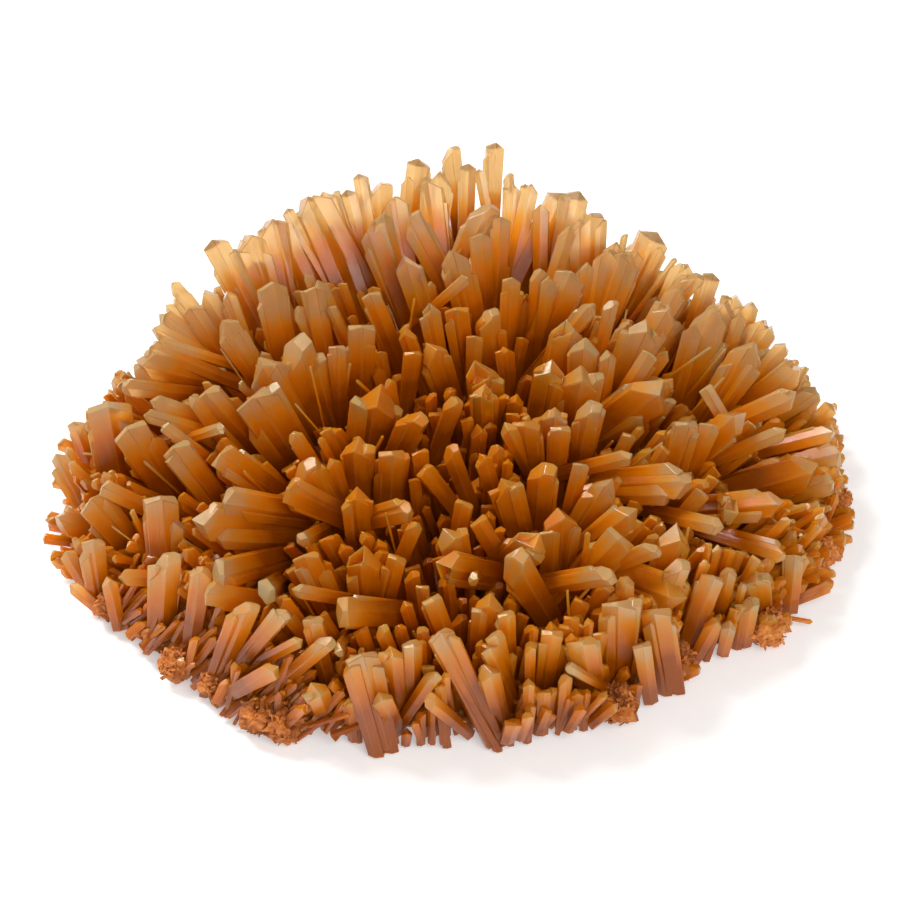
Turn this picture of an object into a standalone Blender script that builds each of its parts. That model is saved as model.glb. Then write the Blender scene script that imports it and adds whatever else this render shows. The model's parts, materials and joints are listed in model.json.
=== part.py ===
"""A cluster of honey-coloured gypsum crystals, spraying outwards from one crusted plate.

Metres and +Z up. The origin is the middle of the flat on which the plate rests. -Y is the front,
and the crystals that the front view shows are each placed where they stand in that view.
"""

import math
import random
from collections import namedtuple

import bmesh
import bpy
from mathutils import Matrix, Vector, noise

MM = 0.001

# The plate that the crystals grow from, at its real size.
PLATE_WIDTH = 296 * MM
PLATE_DEPTH = 284 * MM
PLATE_EDGE_LOW = 4 * MM
PLATE_EDGE_TOP = 10 * MM
PLATE_RISE_BACK = 60 * MM
PLATE_RISE_FRONT = 40 * MM
PLATE_CROWN_POWER = 0.8
PLATE_ROUGHNESS = 2 * MM
PLATE_LUMP_SIZE = 9 * MM
PLATE_UNDERSIDE_SHARE = 0.97
PLATE_CRUST = 3.5 * MM
RESTING_SHARE = 0.72
PLATE_SIDES = 32
PLATE_RINGS = 15

# Where the plate's edge leaves a plain oval: bearing and spread in degrees, then how far out it goes.
PLATE_LOBES = (
    (-176, 14, 5 * MM),
    (-160, 8, 3 * MM),
    (-140, 8, 1 * MM),
    (-119, 9, 7 * MM),
    (-90, 14, -2 * MM),
    (-72, 7, -2 * MM),
    (-47, 16, -13 * MM),
    (-15, 12, -2 * MM),
    (2, 12, 4 * MM),
    (24, 14, 5 * MM),
    (95, 20, 4 * MM),
    (140, 14, -7 * MM),
)

# The back half starts rising above the front half here, and is at its full height here.
BACK_RISES_FROM = -60 * MM
BACK_RISES_BY = 60 * MM

# How far the tips stand above the mass of fused roots, at the back and at the front.
CRYSTAL_COVER_BACK = 27 * MM
CRYSTAL_COVER_FRONT = 19 * MM

# The surface that the crystal tips reach, and the low middle that they lean away from.
TIP_HEIGHT = 76 * MM
TIP_SPREAD = 4 * MM
TIP_DROP_AT_SIDES = 26 * MM
SIDE_DROP_POWER = 2.2
TIP_DROP_AT_FRONT = 20 * MM
FRONT_DROPS_FROM = -60 * MM
FRONT_DROPS_BY = 120 * MM
TIP_DROP_AT_RIM = 40 * MM
RIM_FROM = 0.84
RIM_TO = 1.16
FARTHEST_TIP = 1.12
HOLLOW_DEPTH = 22 * MM
HOLLOW_RADIUS = 24 * MM
HOLLOW_CENTRE = Vector((8 * MM, 36 * MM))
SPRAY_DEPTH = 62 * MM

# The front crystals stand more upright than the spray, from here on and fully by here.
FRONT_STANDS_FROM = -25 * MM
FRONT_STANDS_BY = 55 * MM
FRONT_UPRIGHT = 0.88

# The front view: where its camera stands, and how large a millimetre looks in it.
VIEW_ELEVATION = math.radians(37)
VIEW_DISTANCE = 1150 * MM
VIEW_TARGET = Vector((-2 * MM, 42 * MM, 0))
VIEW_PIXELS = 900
VIEW_WIDTH = 362 * MM

# A crystal's root: how deep it is buried, how wide it is there, and how near the edge it may be.
ROOT_BURIED = 4 * MM
ROOT_SHARE = 0.80
ROOT_WITHIN = 0.97
SHOULDER_SHARE = 0.84
LONGEST_CRYSTAL = 62 * MM
LENGTH_WITHOUT_ROOT = 37 * MM
FLOOR_CLEARANCE = 1.2 * MM
STEP_ALONG = 1 * MM

# A crystal that would miss the plate is tilted further, by the first of these angles that will do.
FURTHER_TILTS = (0, 5, 10, 15, 20, 25, 30, -5, -10, -15, -20, 40, 50)

# A crystal's section: how flat it is, how much wider a six-sided one is across its flat sides, and
# how far it is twisted off the viewer.
FLATNESS = (0.62, 0.92)
FLAT_SIDE_WIDENING = 1.3
MOST_TWIST = 24
SIX_SIDED_FROM = 10.5 * MM

# The slightest crystals of the front view are left out: these are the least widths in millimetres.
LEAST_WIDTH = 6.8
LEAST_WIDTH_AT_BACK = 4

# The crystals round the far side, in rows from low and flat to high and steep.
BACK_CRYSTALS = 32
BACK_ROWS = 3
BACK_FROM = 26
BACK_TO = 148
BACK_OUT = 5 * MM
BACK_OUT_PER_ROW = 4 * MM
BACK_HEIGHT = 17 * MM
BACK_HEIGHT_PER_ROW = 13 * MM
BACK_RISE = 7
BACK_RISE_PER_ROW = 20
BACK_SCATTER = 3 * MM
BACK_WIDTH = (7 * MM, 12 * MM)

# The crystals in the gaps between the others, in rows like those of a honeycomb.
FILLER_SPACING = 15.5 * MM
FILLER_ROW_SPACING = 13.5 * MM
FILLER_SCATTER = 3 * MM
FILLER_WITHIN = 1.02
FILLER_GAP = 16 * MM
FILLER_BELOW_TIPS = (3 * MM, 8 * MM)
FILLER_DROP_AT_RIM = 9 * MM
FILLER_SWAY = 0.25
FILLER_WIDTH = (5.5 * MM, 8.4 * MM)

Crystal = namedtuple("Crystal", "tip foot width end tilt", defaults=(None,))

# How a crystal ends: each cut has its slope, its bearing round the axis and its drop below the tip,
# as a share of the width. A four-sided crystal has the first two cuts.
ROOF = ((38, 0, 0.0), (46, 180, 0.01), (30, 275, 0.05))
FLAT = ((7, 70, 0.0), (48, 5, 0.15), (42, 190, 0.17))
POINT = ((62, 15, 0.0), (48, 195, 0.0), (40, 280, 0.03))
SLANT = ((34, 300, 0.0), (52, 20, 0.11), (20, 120, 0.03))
HOLLOW = ((14, 280, 0.0), (40, 10, 0.14), (44, 185, 0.13))

# Tip and foot are picture coordinates of the front view, width is in millimetres, and tilt, where
# it is given, is how far the crystal points towards the viewer, in degrees.
BACK = [
    Crystal((212, 238), (245, 300), 11.0, ROOF),
    Crystal((171, 283), (190, 305), 5.0, POINT),
    Crystal((165, 303), (182, 322), 3.5, FLAT),
    Crystal((202, 288), (217, 312), 8.0, FLAT),
    Crystal((262, 224), (277, 268), 12.0, FLAT),
    Crystal((277, 217), (292, 250), 9.0, FLAT),
    Crystal((286, 209), (297, 228), 4.5, ROOF),
    Crystal((311, 189), (350, 260), 13.0, FLAT),
    Crystal((294, 214), (330, 266), 5.0, SLANT),
    Crystal((332, 194), (343, 218), 4.5, ROOF),
    Crystal((348, 189), (357, 225), 6.0, ROOF),
    Crystal((360, 173), (367, 215), 5.5, ROOF),
    Crystal((379, 181), (379, 232), 11.5, SLANT),
    Crystal((382, 214), (396, 270), 7.5, ROOF),
    Crystal((368, 223), (402, 312), 10.5, HOLLOW),
    Crystal((403, 254), (431, 335), 10.5, HOLLOW),
    Crystal((409, 214), (444, 282), 10.0, SLANT),
    Crystal((420, 158), (409, 228), 10.0, ROOF),
    Crystal((439, 167), (434, 228), 12.0, FLAT),
    Crystal((450, 147), (456, 195), 8.5, SLANT),
    Crystal((468, 164), (466, 232), 7.0, ROOF),
    Crystal((431, 181), (438, 238), 10.5, ROOF),
    Crystal((479, 169), (483, 190), 4.0, ROOF),
    Crystal((495, 142), (492, 205), 8.0, ROOF),
    Crystal((508, 173), (510, 198), 4.0, SLANT),
    Crystal((515, 181), (511, 235), 8.5, FLAT),
    Crystal((532, 181), (524, 218), 7.5, FLAT),
    Crystal((541, 201), (541, 228), 6.0, FLAT),
    Crystal((562, 192), (528, 265), 11.0, ROOF),
    Crystal((577, 190), (568, 238), 10.5, ROOF),
    Crystal((589, 212), (588, 268), 12.5, SLANT),
    Crystal((570, 225), (558, 264), 6.0, POINT),
    Crystal((502, 216), (497, 305), 7.5, ROOF),
    Crystal((480, 232), (483, 290), 9.0, ROOF),
    Crystal((489, 203), (463, 262), 11.5, SLANT),
    Crystal((450, 245), (463, 292), 11.5, FLAT),
    Crystal((468, 277), (449, 293), 4.0, ROOF),
    Crystal((512, 276), (508, 332), 7.5, ROOF),
    Crystal((539, 268), (536, 345), 6.0, POINT),
    Crystal((549, 274), (545, 312), 5.0, FLAT),
    Crystal((574, 270), (552, 325), 13.0, ROOF),
    Crystal((588, 260), (585, 283), 5.0, FLAT),
    Crystal((613, 244), (604, 292), 12.0, FLAT),
    Crystal((625, 234), (607, 245), 2.5, SLANT),
    Crystal((634, 250), (618, 292), 11.0, FLAT),
    Crystal((657, 231), (628, 292), 14.0, ROOF),
    Crystal((676, 258), (663, 276), 2.0, POINT),
    Crystal((683, 260), (671, 288), 6.0, FLAT),
    Crystal((698, 273), (674, 302), 8.0, SLANT),
    Crystal((713, 272), (699, 317), 7.5, ROOF),
    Crystal((729, 297), (706, 345), 12.5, FLAT),
    Crystal((752, 301), (744, 337), 6.0, POINT),
    Crystal((742, 312), (731, 348), 5.0, FLAT),
    Crystal((774, 324), (755, 354), 7.5, FLAT),
    Crystal((788, 342), (764, 370), 7.0, FLAT),
]

LEFT = [
    Crystal((150, 327), (186, 346), 5.5, FLAT),
    Crystal((162, 314), (190, 336), 5.5, ROOF),
    Crystal((156, 341), (192, 352), 4.0, FLAT),
    Crystal((190, 305), (215, 345), 9.0, ROOF),
    Crystal((226, 289), (241, 332), 6.5, FLAT),
    Crystal((222, 320), (250, 365), 11.0, POINT),
    Crystal((270, 280), (282, 350), 12.0, ROOF),
    Crystal((148, 347), (187, 363), 5.5, ROOF),
    Crystal((134, 362), (177, 371), 12.0, FLAT),
    Crystal((122, 387), (190, 392), 7.0, POINT),
    Crystal((149, 400), (186, 413), 6.5, FLAT),
    Crystal((142, 414), (182, 426), 5.0, FLAT),
    Crystal((162, 425), (183, 441), 4.0, ROOF),
    Crystal((222, 428), (186, 437), 4.0, SLANT),
    Crystal((191, 395), (204, 416), 5.0, FLAT),
    Crystal((205, 388), (240, 430), 9.0, ROOF),
    Crystal((258, 356), (297, 427), 14.0, FLAT),
    Crystal((250, 391), (296, 466), 18.0, ROOF),
    Crystal((292, 344), (324, 432), 15.0, SLANT),
    Crystal((313, 285), (322, 342), 9.0, ROOF),
    Crystal((292, 432), (316, 472), 6.5, POINT),
    Crystal((300, 465), (328, 508), 13.0, SLANT),
    Crystal((284, 487), (320, 506), 11.0, ROOF),
    Crystal((220, 500), (292, 512), 10.5, ROOF),
    Crystal((192, 522), (256, 528), 13.5, FLAT),
    Crystal((217, 452), (256, 482), 11.0, ROOF),
    Crystal((172, 443), (204, 488), 11.5, ROOF),
    Crystal((125, 424), (159, 480), 14.5, ROOF),
    Crystal((108, 398), (116, 472), 18.0, ROOF),
    Crystal((75, 420), (96, 486), 7.5, ROOF),
    Crystal((53, 454), (81, 512), 7.5, ROOF),
    Crystal((88, 497), (122, 542), 13.0, ROOF),
    Crystal((54, 517), (122, 546), 10.5, POINT),
    Crystal((66, 550), (90, 592), 6.0, ROOF),
    Crystal((93, 537), (101, 602), 9.0, ROOF),
    Crystal((68, 582), (85, 617), 5.0, FLAT),
    Crystal((108, 575), (112, 632), 5.5, FLAT),
    Crystal((160, 492), (161, 575), 13.5, ROOF),
    Crystal((166, 556), (157, 628), 11.5, SLANT),
    Crystal((116, 577), (146, 579), 5.5, FLAT),
    Crystal((100, 486), (152, 513), 6.0, ROOF),
]

RIGHT = [
    Crystal((715, 307), (690, 392), 15.0, POINT),
    Crystal((682, 284), (655, 332), 9.0, FLAT),
    Crystal((672, 303), (645, 350), 11.0, FLAT),
    Crystal((612, 301), (602, 347), 5.0, SLANT),
    Crystal((595, 303), (572, 330), 7.0, FLAT),
    Crystal((572, 320), (556, 388), 14.0, HOLLOW),
    Crystal((585, 338), (586, 378), 12.0, FLAT),
    Crystal((609, 350), (605, 397), 5.5, FLAT),
    Crystal((650, 320), (622, 385), 13.0, FLAT),
    Crystal((652, 352), (636, 378), 6.0, ROOF),
    Crystal((668, 384), (606, 428), 17.0, FLAT),
    Crystal((704, 386), (723, 413), 5.0, ROOF),
    Crystal((758, 338), (722, 398), 14.0, FLAT),
    Crystal((798, 394), (740, 420), 9.0, FLAT),
    Crystal((804, 366), (764, 396), 10.0, FLAT),
    Crystal((820, 388), (790, 408), 8.0, FLAT),
    Crystal((834, 404), (812, 428), 7.0, ROOF),
    Crystal((744, 411), (699, 455), 11.5, FLAT),
    Crystal((688, 419), (680, 457), 10.0, ROOF),
    Crystal((712, 422), (699, 457), 8.0, ROOF),
    Crystal((838, 432), (783, 446), 8.0, FLAT),
    Crystal((843, 455), (812, 463), 9.0, ROOF),
    Crystal((822, 467), (745, 491), 15.5, FLAT),
    Crystal((788, 430), (756, 444), 5.5, FLAT),
    Crystal((692, 482), (628, 486), 13.0, POINT),
    Crystal((634, 456), (606, 463), 5.5, FLAT),
    Crystal((787, 503), (744, 507), 10.0, FLAT),
    Crystal((836, 483), (803, 492), 9.0, ROOF),
    Crystal((732, 512), (728, 498), 9.5, HOLLOW, 60),
]

CENTRE = [
    Crystal((590, 404), (583, 464), 10.0, SLANT),
    Crystal((561, 425), (556, 502), 8.0, ROOF),
    Crystal((525, 419), (536, 478), 11.0, ROOF),
    Crystal((505, 424), (520, 450), 6.0, FLAT),
    Crystal((582, 462), (571, 512), 5.5, ROOF),
    Crystal((613, 478), (583, 527), 11.0, FLAT),
    Crystal((637, 510), (598, 540), 10.0, FLAT),
    Crystal((503, 478), (516, 522), 11.0, FLAT),
    Crystal((543, 465), (540, 524), 11.0, SLANT),
    Crystal((482, 453), (492, 487), 6.5, FLAT),
    Crystal((449, 448), (468, 498), 6.0, SLANT),
    Crystal((422, 467), (451, 505), 6.0, ROOF),
    Crystal((420, 449), (421, 468), 5.5, ROOF),
    Crystal((456, 398), (438, 447), 6.0, POINT),
    Crystal((413, 350), (405, 410), 6.0, ROOF),
    Crystal((362, 322), (356, 428), 11.0, ROOF),
    Crystal((369, 291), (393, 346), 8.0, ROOF),
    Crystal((380, 389), (368, 452), 16.0, FLAT),
    Crystal((389, 379), (392, 396), 4.0, POINT),
    Crystal((357, 439), (358, 492), 12.0, FLAT),
    Crystal((393, 448), (390, 492), 11.0, ROOF),
    Crystal((418, 414), (397, 452), 10.0, SLANT),
    Crystal((337, 344), (338, 412), 7.0, ROOF),
    Crystal((331, 457), (341, 492), 5.0, FLAT),
    Crystal((430, 303), (437, 345), 7.5, HOLLOW),
    Crystal((456, 305), (463, 350), 10.0, ROOF),
    Crystal((488, 311), (492, 350), 9.5, SLANT),
    Crystal((475, 334), (474, 366), 6.0, ROOF),
    Crystal((482, 363), (484, 385), 13.0, HOLLOW),
    Crystal((505, 345), (508, 380), 7.5, FLAT),
    Crystal((483, 387), (484, 412), 9.5, HOLLOW),
    Crystal((552, 362), (545, 400), 12.0, HOLLOW),
    Crystal((583, 367), (578, 415), 15.0, FLAT),
    Crystal((555, 408), (556, 440), 10.0, FLAT),
    Crystal((404, 328), (412, 350), 7.0, HOLLOW),
    Crystal((430, 342), (440, 370), 11.0, FLAT),
]

FRONT = [
    Crystal((356, 489), (358, 516), 9.5, FLAT),
    Crystal((412, 510), (368, 520), 9.0, POINT),
    Crystal((302, 541), (338, 521), 5.0, SLANT),
    Crystal((417, 522), (400, 562), 5.0, POINT),
    Crystal((448, 530), (456, 560), 10.5, FLAT, 50),
    Crystal((476, 518), (501, 560), 7.0, ROOF),
    Crystal((465, 500), (457, 546), 6.0, ROOF),
    Crystal((440, 565), (472, 572), 11.0, HOLLOW, 55),
    Crystal((540, 538), (518, 558), 13.0, HOLLOW, 55),
    Crystal((562, 507), (560, 562), 13.0, FLAT),
    Crystal((588, 532), (585, 576), 1.8, POINT),
    Crystal((625, 534), (598, 566), 12.0, ROOF),
    Crystal((680, 527), (669, 568), 12.0, HOLLOW),
    Crystal((722, 528), (688, 520), 6.0, FLAT),
    Crystal((657, 548), (610, 568), 6.0, SLANT),
    Crystal((512, 560), (537, 602), 12.5, SLANT, 50),
    Crystal((473, 580), (506, 570), 4.5, POINT),
    Crystal((490, 595), (488, 627), 10.5, FLAT),
    Crystal((506, 611), (508, 640), 6.5, ROOF),
    Crystal((612, 575), (560, 586), 7.5, SLANT),
    Crystal((625, 577), (626, 602), 6.0, POINT),
    Crystal((619, 598), (622, 690), 12.5, ROOF),
    Crystal((683, 600), (628, 580), 13.0, FLAT),
    Crystal((680, 562), (667, 602), 9.0, SLANT),
    Crystal((655, 606), (672, 690), 11.0, ROOF),
    Crystal((641, 642), (651, 702), 6.0, ROOF),
    Crystal((714, 573), (683, 657), 9.0, ROOF),
    Crystal((730, 568), (722, 627), 5.5, POINT),
    Crystal((717, 618), (692, 663), 6.5, POINT),
    Crystal((730, 622), (727, 657), 5.0, FLAT),
    Crystal((750, 600), (748, 647), 7.5, SLANT),
    Crystal((772, 616), (768, 642), 6.5, POINT),
    Crystal((755, 572), (762, 622), 9.5, FLAT),
    Crystal((795, 553), (790, 612), 7.5, ROOF),
    Crystal((787, 556), (730, 538), 8.0, POINT),
    Crystal((398, 555), (386, 604), 7.0, ROOF),
    Crystal((363, 549), (366, 602), 13.0, HOLLOW),
    Crystal((303, 552), (320, 590), 10.0, ROOF),
    Crystal((338, 612), (373, 616), 11.0, ROOF, 45),
    Crystal((293, 590), (347, 603), 4.5, FLAT),
    Crystal((266, 592), (297, 568), 9.0, ROOF),
    Crystal((338, 652), (351, 632), 4.5, FLAT),
    Crystal((360, 650), (386, 746), 12.5, ROOF),
    Crystal((391, 648), (396, 702), 8.5, FLAT),
    Crystal((412, 641), (411, 727), 7.0, ROOF),
    Crystal((380, 694), (399, 732), 7.5, FLAT),
    Crystal((437, 629), (495, 742), 10.0, ROOF),
    Crystal((430, 596), (443, 632), 7.5, ROOF),
    Crystal((494, 633), (506, 682), 6.0, ROOF),
    Crystal((488, 647), (521, 724), 6.5, ROOF),
    Crystal((487, 666), (500, 717), 8.0, FLAT),
    Crystal((553, 629), (543, 717), 8.0, ROOF),
    Crystal((580, 638), (593, 692), 11.0, ROOF),
    Crystal((567, 666), (623, 699), 3.5, POINT),
    Crystal((435, 674), (415, 706), 5.0, SLANT),
    Crystal((428, 700), (470, 735), 5.0, SLANT),
    Crystal((249, 604), (212, 692), 9.0, SLANT),
    Crystal((203, 592), (242, 600), 9.0, ROOF),
    Crystal((203, 566), (188, 642), 8.5, POINT),
    Crystal((285, 611), (236, 668), 6.5, SLANT),
    Crystal((312, 616), (319, 652), 7.5, ROOF),
    Crystal((302, 640), (250, 670), 4.0, FLAT),
    Crystal((330, 640), (285, 680), 5.5, SLANT),
    Crystal((278, 668), (214, 702), 6.0, FLAT),
    Crystal((215, 575), (256, 566), 10.5, ROOF),
    Crystal((315, 687), (328, 723), 9.0, FLAT),
]


def smooth(low, high, value):
    """0 below low, 1 above high, and an S-curve between."""
    share = min(1.0, max(0.0, (value - low) / (high - low)))
    return share * share * (3 - 2 * share)


def outward(bearing):
    """The level direction at a bearing."""
    return Vector((math.cos(bearing), math.sin(bearing), 0))


def plate_radius(bearing):
    """The plate's outline: an oval with lobes and broken-back corners."""
    radius = 1 / math.hypot(2 * math.cos(bearing) / PLATE_WIDTH, 2 * math.sin(bearing) / PLATE_DEPTH)
    for middle, spread, further in PLATE_LOBES:
        away = (math.degrees(bearing) - middle + 180) % 360 - 180
        radius += further * math.exp(-((away / spread) ** 2))
    return radius


def share_of_plate(x, y):
    """How far a point is from the middle of the plate: 1 at its edge."""
    return math.hypot(x, y) / plate_radius(math.atan2(y, x))


def tip_surface(x, y):
    """Height of the surface that the tips reach."""
    sides = TIP_DROP_AT_SIDES * min(1.0, abs(x) / (PLATE_WIDTH / 2)) ** SIDE_DROP_POWER
    front = TIP_DROP_AT_FRONT * smooth(FRONT_DROPS_FROM, FRONT_DROPS_BY, -y)
    rim = TIP_DROP_AT_RIM * smooth(RIM_FROM, RIM_TO, share_of_plate(x, y))
    from_hollow = (Vector((x, y)) - HOLLOW_CENTRE).length
    hollow = HOLLOW_DEPTH * math.exp(-((from_hollow / HOLLOW_RADIUS) ** 2))
    return TIP_HEIGHT - sides - front - rim - hollow


def plate_top(x, y):
    """Height of the mass of fused roots."""
    share = min(1.0, share_of_plate(x, y))
    backness = smooth(BACK_RISES_FROM, BACK_RISES_BY, y)
    rise = PLATE_RISE_FRONT + (PLATE_RISE_BACK - PLATE_RISE_FRONT) * backness
    cover = CRYSTAL_COVER_FRONT + (CRYSTAL_COVER_BACK - CRYSTAL_COVER_FRONT) * backness
    mound = PLATE_EDGE_TOP + rise * (1 - share**2) ** PLATE_CROWN_POWER
    return max(PLATE_EDGE_TOP, min(mound, tip_surface(x, y) - cover))


def spray(x, y):
    """The way that a crystal with its tip at this place points: away from a point below the plate."""
    away = Vector((x - HOLLOW_CENTRE.x, y - HOLLOW_CENTRE.y, SPRAY_DEPTH + tip_surface(x, y)))
    away.y *= 1 - FRONT_UPRIGHT * smooth(FRONT_STANDS_FROM, FRONT_STANDS_BY, -y)
    return away.normalized()


def view_axes():
    """The front view's right, up and towards-the-viewer directions."""
    towards = Vector((0, -math.cos(VIEW_ELEVATION), math.sin(VIEW_ELEVATION)))
    right = Vector((1, 0, 0))
    return right, towards.cross(right), towards


RIGHT_OF_VIEW, UP_IN_VIEW, TO_VIEWER = view_axes()
EYE = VIEW_TARGET + VIEW_DISTANCE * TO_VIEWER


def sight_line(pixel):
    """The direction from the eye through a pixel of the front view."""
    half = VIEW_PIXELS / 2
    across = (pixel[0] - half) / VIEW_PIXELS * VIEW_WIDTH
    up = (half - pixel[1]) / VIEW_PIXELS * VIEW_WIDTH
    return (RIGHT_OF_VIEW * across + UP_IN_VIEW * up - TO_VIEWER * VIEW_DISTANCE).normalized()


def tip_place(pixel):
    """Where the sight line through a tip's pixel meets the surface of the tips, or passes nearest to it."""
    line = sight_line(pixel)
    least = None
    height = TIP_HEIGHT + TIP_SPREAD
    while height > PLATE_EDGE_TOP:
        place = EYE + line * ((height - EYE.z) / line.z)
        if place.y > 0 and share_of_plate(place.x, place.y) > FARTHEST_TIP:
            break
        gap = height - tip_surface(place.x, place.y)
        if least is None or gap < least:
            least = gap
            nearest = place
        if gap <= 0:
            break
        height -= STEP_ALONG / 2
    return nearest


def length_to_root(tip, axis):
    """How far a crystal runs back from its tip until it is buried in the plate: None if it misses it."""
    length = 0.0
    while length < LONGEST_CRYSTAL:
        length += STEP_ALONG
        place = tip - axis * length
        if place.z < PLATE_EDGE_LOW:
            return None
        if share_of_plate(place.x, place.y) > ROOT_WITHIN:
            continue
        if place.z < plate_top(place.x, place.y) - ROOT_BURIED:
            return length
    return None


def lean_on_plate(tip):
    """The way from the nearest part of the plate's shoulder to a tip that hangs over its edge."""
    inward = min(1.0, SHOULDER_SHARE / share_of_plate(tip.x, tip.y))
    anchor = Vector((tip.x * inward, tip.y * inward, 0))
    anchor.z = plate_top(anchor.x, anchor.y) - 2 * ROOT_BURIED
    return (tip - anchor).normalized()


def crystal_axis(crystal, tip):
    """Across the view a crystal lies as its tip and foot do. Its tilt to the viewer is the spray's.

    A crystal that would miss the plate with that tilt is tilted further, just enough to stand on it.
    """
    across = crystal.tip[0] - crystal.foot[0]
    up = crystal.foot[1] - crystal.tip[1]
    in_view = (RIGHT_OF_VIEW * across + UP_IN_VIEW * up).normalized()
    tilt = crystal.tilt
    if tilt is None:
        tilt = math.degrees(math.asin(spray(tip.x, tip.y).dot(TO_VIEWER)))
    for further in FURTHER_TILTS:
        turned = math.radians(tilt + further)
        axis = in_view * math.cos(turned) + TO_VIEWER * math.sin(turned)
        if length_to_root(tip, axis) is not None:
            return axis
    return lean_on_plate(tip)


def cut_end(shape, length, width, cuts):
    """Cuts the sloping planes of a crystal's end."""
    for slope, bearing, drop in cuts:
        slope = math.radians(slope)
        normal = outward(math.radians(bearing)) * math.sin(slope)
        normal.z = math.cos(slope)
        place = Vector((0, 0, length - drop * width))
        every = shape.verts[:] + shape.edges[:] + shape.faces[:]
        cut = bmesh.ops.bisect_plane(shape, geom=every, plane_co=place, plane_no=normal, clear_outer=True)
        rim = [piece for piece in cut["geom_cut"] if isinstance(piece, bmesh.types.BMEdge)]
        if rim:
            bmesh.ops.contextual_create(shape, geom=rim)


def crystal_mesh(name, width, length, end, flatness):
    """A prism along +Z, narrower at its root, whose end is cut by sloping planes."""
    six_sided = width > SIX_SIDED_FROM
    sides = 6 if six_sided else 4
    root = ROOT_SHARE * width / 2
    shape = bmesh.new()
    bmesh.ops.create_cone(
        shape, cap_ends=True, segments=sides, radius1=root, radius2=width / 2, depth=length
    )
    for corner in shape.verts:
        corner.co.z += length / 2
        corner.co.y *= flatness
        at_flat_side = abs(corner.co.y) > root / 2
        if six_sided and at_flat_side:
            corner.co.x *= FLAT_SIDE_WIDENING
    cuts = end if six_sided else end[:2]
    cut_end(shape, length, width, cuts)
    bmesh.ops.recalc_face_normals(shape, faces=shape.faces[:])
    mesh = bpy.data.meshes.new(name)
    shape.to_mesh(mesh)
    shape.free()
    return mesh


def turned_along(axis, twist):
    """A rotation that takes +Z to the axis and the prism's wide side to the viewer, but for the twist."""
    side = TO_VIEWER.cross(axis)
    if side.length < 0.2:
        side = RIGHT_OF_VIEW.cross(axis)
    side.normalize()
    return Matrix((side, axis.cross(side), axis)).transposed() @ Matrix.Rotation(twist, 3, "Z")


def add_crystal(name, tip, axis, width, end, dice, collection):
    """Places one crystal with its tip at tip, its wide side turned roughly to the viewer."""
    length = length_to_root(tip, axis) or LENGTH_WITHOUT_ROOT
    mesh = crystal_mesh(name, width, length, end, dice.uniform(*FLATNESS))
    turn = turned_along(axis, math.radians(dice.uniform(-MOST_TWIST, MOST_TWIST)))
    mesh.transform(Matrix.Translation(tip - axis * length) @ turn.to_4x4())
    for corner in mesh.vertices:
        corner.co.z = max(corner.co.z, FLOOR_CLEARANCE)
    crystal = bpy.data.objects.new(name, mesh)
    crystal.hide_render = True
    crystal.display_type = "WIRE"
    collection.objects.link(crystal)


def add_view_crystals(dice, collection):
    """The crystals that the front view shows, except for the slightest. Returns their tips."""
    tips = []
    for crystal in BACK + LEFT + RIGHT + CENTRE + FRONT:
        least = LEAST_WIDTH_AT_BACK if crystal in BACK else LEAST_WIDTH
        if crystal.width < least:
            continue
        tip = tip_place(crystal.tip)
        axis = crystal_axis(crystal, tip)
        name = f"crystal_{len(tips):03d}"
        add_crystal(name, tip, axis, crystal.width * MM, crystal.end, dice, collection)
        tips.append(tip)
    return tips


def add_back_crystals(dice, collection):
    """Crystals round the far side, which the front view hides. Returns their tips."""
    tips = []
    for number in range(BACK_CRYSTALS):
        row = number % BACK_ROWS
        share = (number + 0.5) / BACK_CRYSTALS
        bearing = math.radians(BACK_FROM + (BACK_TO - BACK_FROM) * share + dice.uniform(-2, 2))
        reach = plate_radius(bearing) + BACK_OUT + BACK_OUT_PER_ROW * row
        tip = outward(bearing) * (reach + dice.uniform(-BACK_SCATTER, BACK_SCATTER))
        tip.z = BACK_HEIGHT + BACK_HEIGHT_PER_ROW * row + dice.uniform(-BACK_SCATTER, BACK_SCATTER)
        rise = math.radians(BACK_RISE + BACK_RISE_PER_ROW * row + dice.uniform(-7, 7))
        axis = outward(bearing) * math.cos(rise)
        axis.z = math.sin(rise)
        end = dice.choice((ROOF, FLAT, SLANT))
        name = f"back_crystal_{number:02d}"
        add_crystal(name, tip, axis, dice.uniform(*BACK_WIDTH), end, dice, collection)
        tips.append(tip)
    return tips


def honeycomb(dice):
    """Places in rows over the plate, each a little off its place in the honeycomb."""
    rows = int(PLATE_DEPTH / FILLER_ROW_SPACING)
    columns = int(PLATE_WIDTH / FILLER_SPACING)
    for row in range(-rows // 2, rows // 2 + 1):
        for column in range(-columns // 2, columns // 2 + 1):
            x = (column + 0.5 * (row % 2)) * FILLER_SPACING + dice.uniform(-FILLER_SCATTER, FILLER_SCATTER)
            y = row * FILLER_ROW_SPACING + dice.uniform(-FILLER_SCATTER, FILLER_SCATTER)
            if share_of_plate(x, y) < FILLER_WITHIN:
                yield x, y


def add_fillers(taken, dice, collection):
    """Lower crystals in the gaps between those whose tips are taken."""
    for number, (x, y) in enumerate(honeycomb(dice)):
        tip = Vector((x, y, tip_surface(x, y) - dice.uniform(*FILLER_BELOW_TIPS)))
        tip.z -= FILLER_DROP_AT_RIM * smooth(0.75, 0.95, share_of_plate(x, y))
        if min((tip - other).length for other in taken) < FILLER_GAP:
            continue
        sway = Vector([dice.uniform(-FILLER_SWAY, FILLER_SWAY) for _ in range(3)])
        axis = (spray(x, y) + sway).normalized()
        if length_to_root(tip, axis) is None:
            axis = lean_on_plate(tip)
        end = dice.choice((ROOF, FLAT, SLANT, POINT))
        name = f"filler_{number:03d}"
        add_crystal(name, tip, axis, dice.uniform(*FILLER_WIDTH), end, dice, collection)


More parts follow.
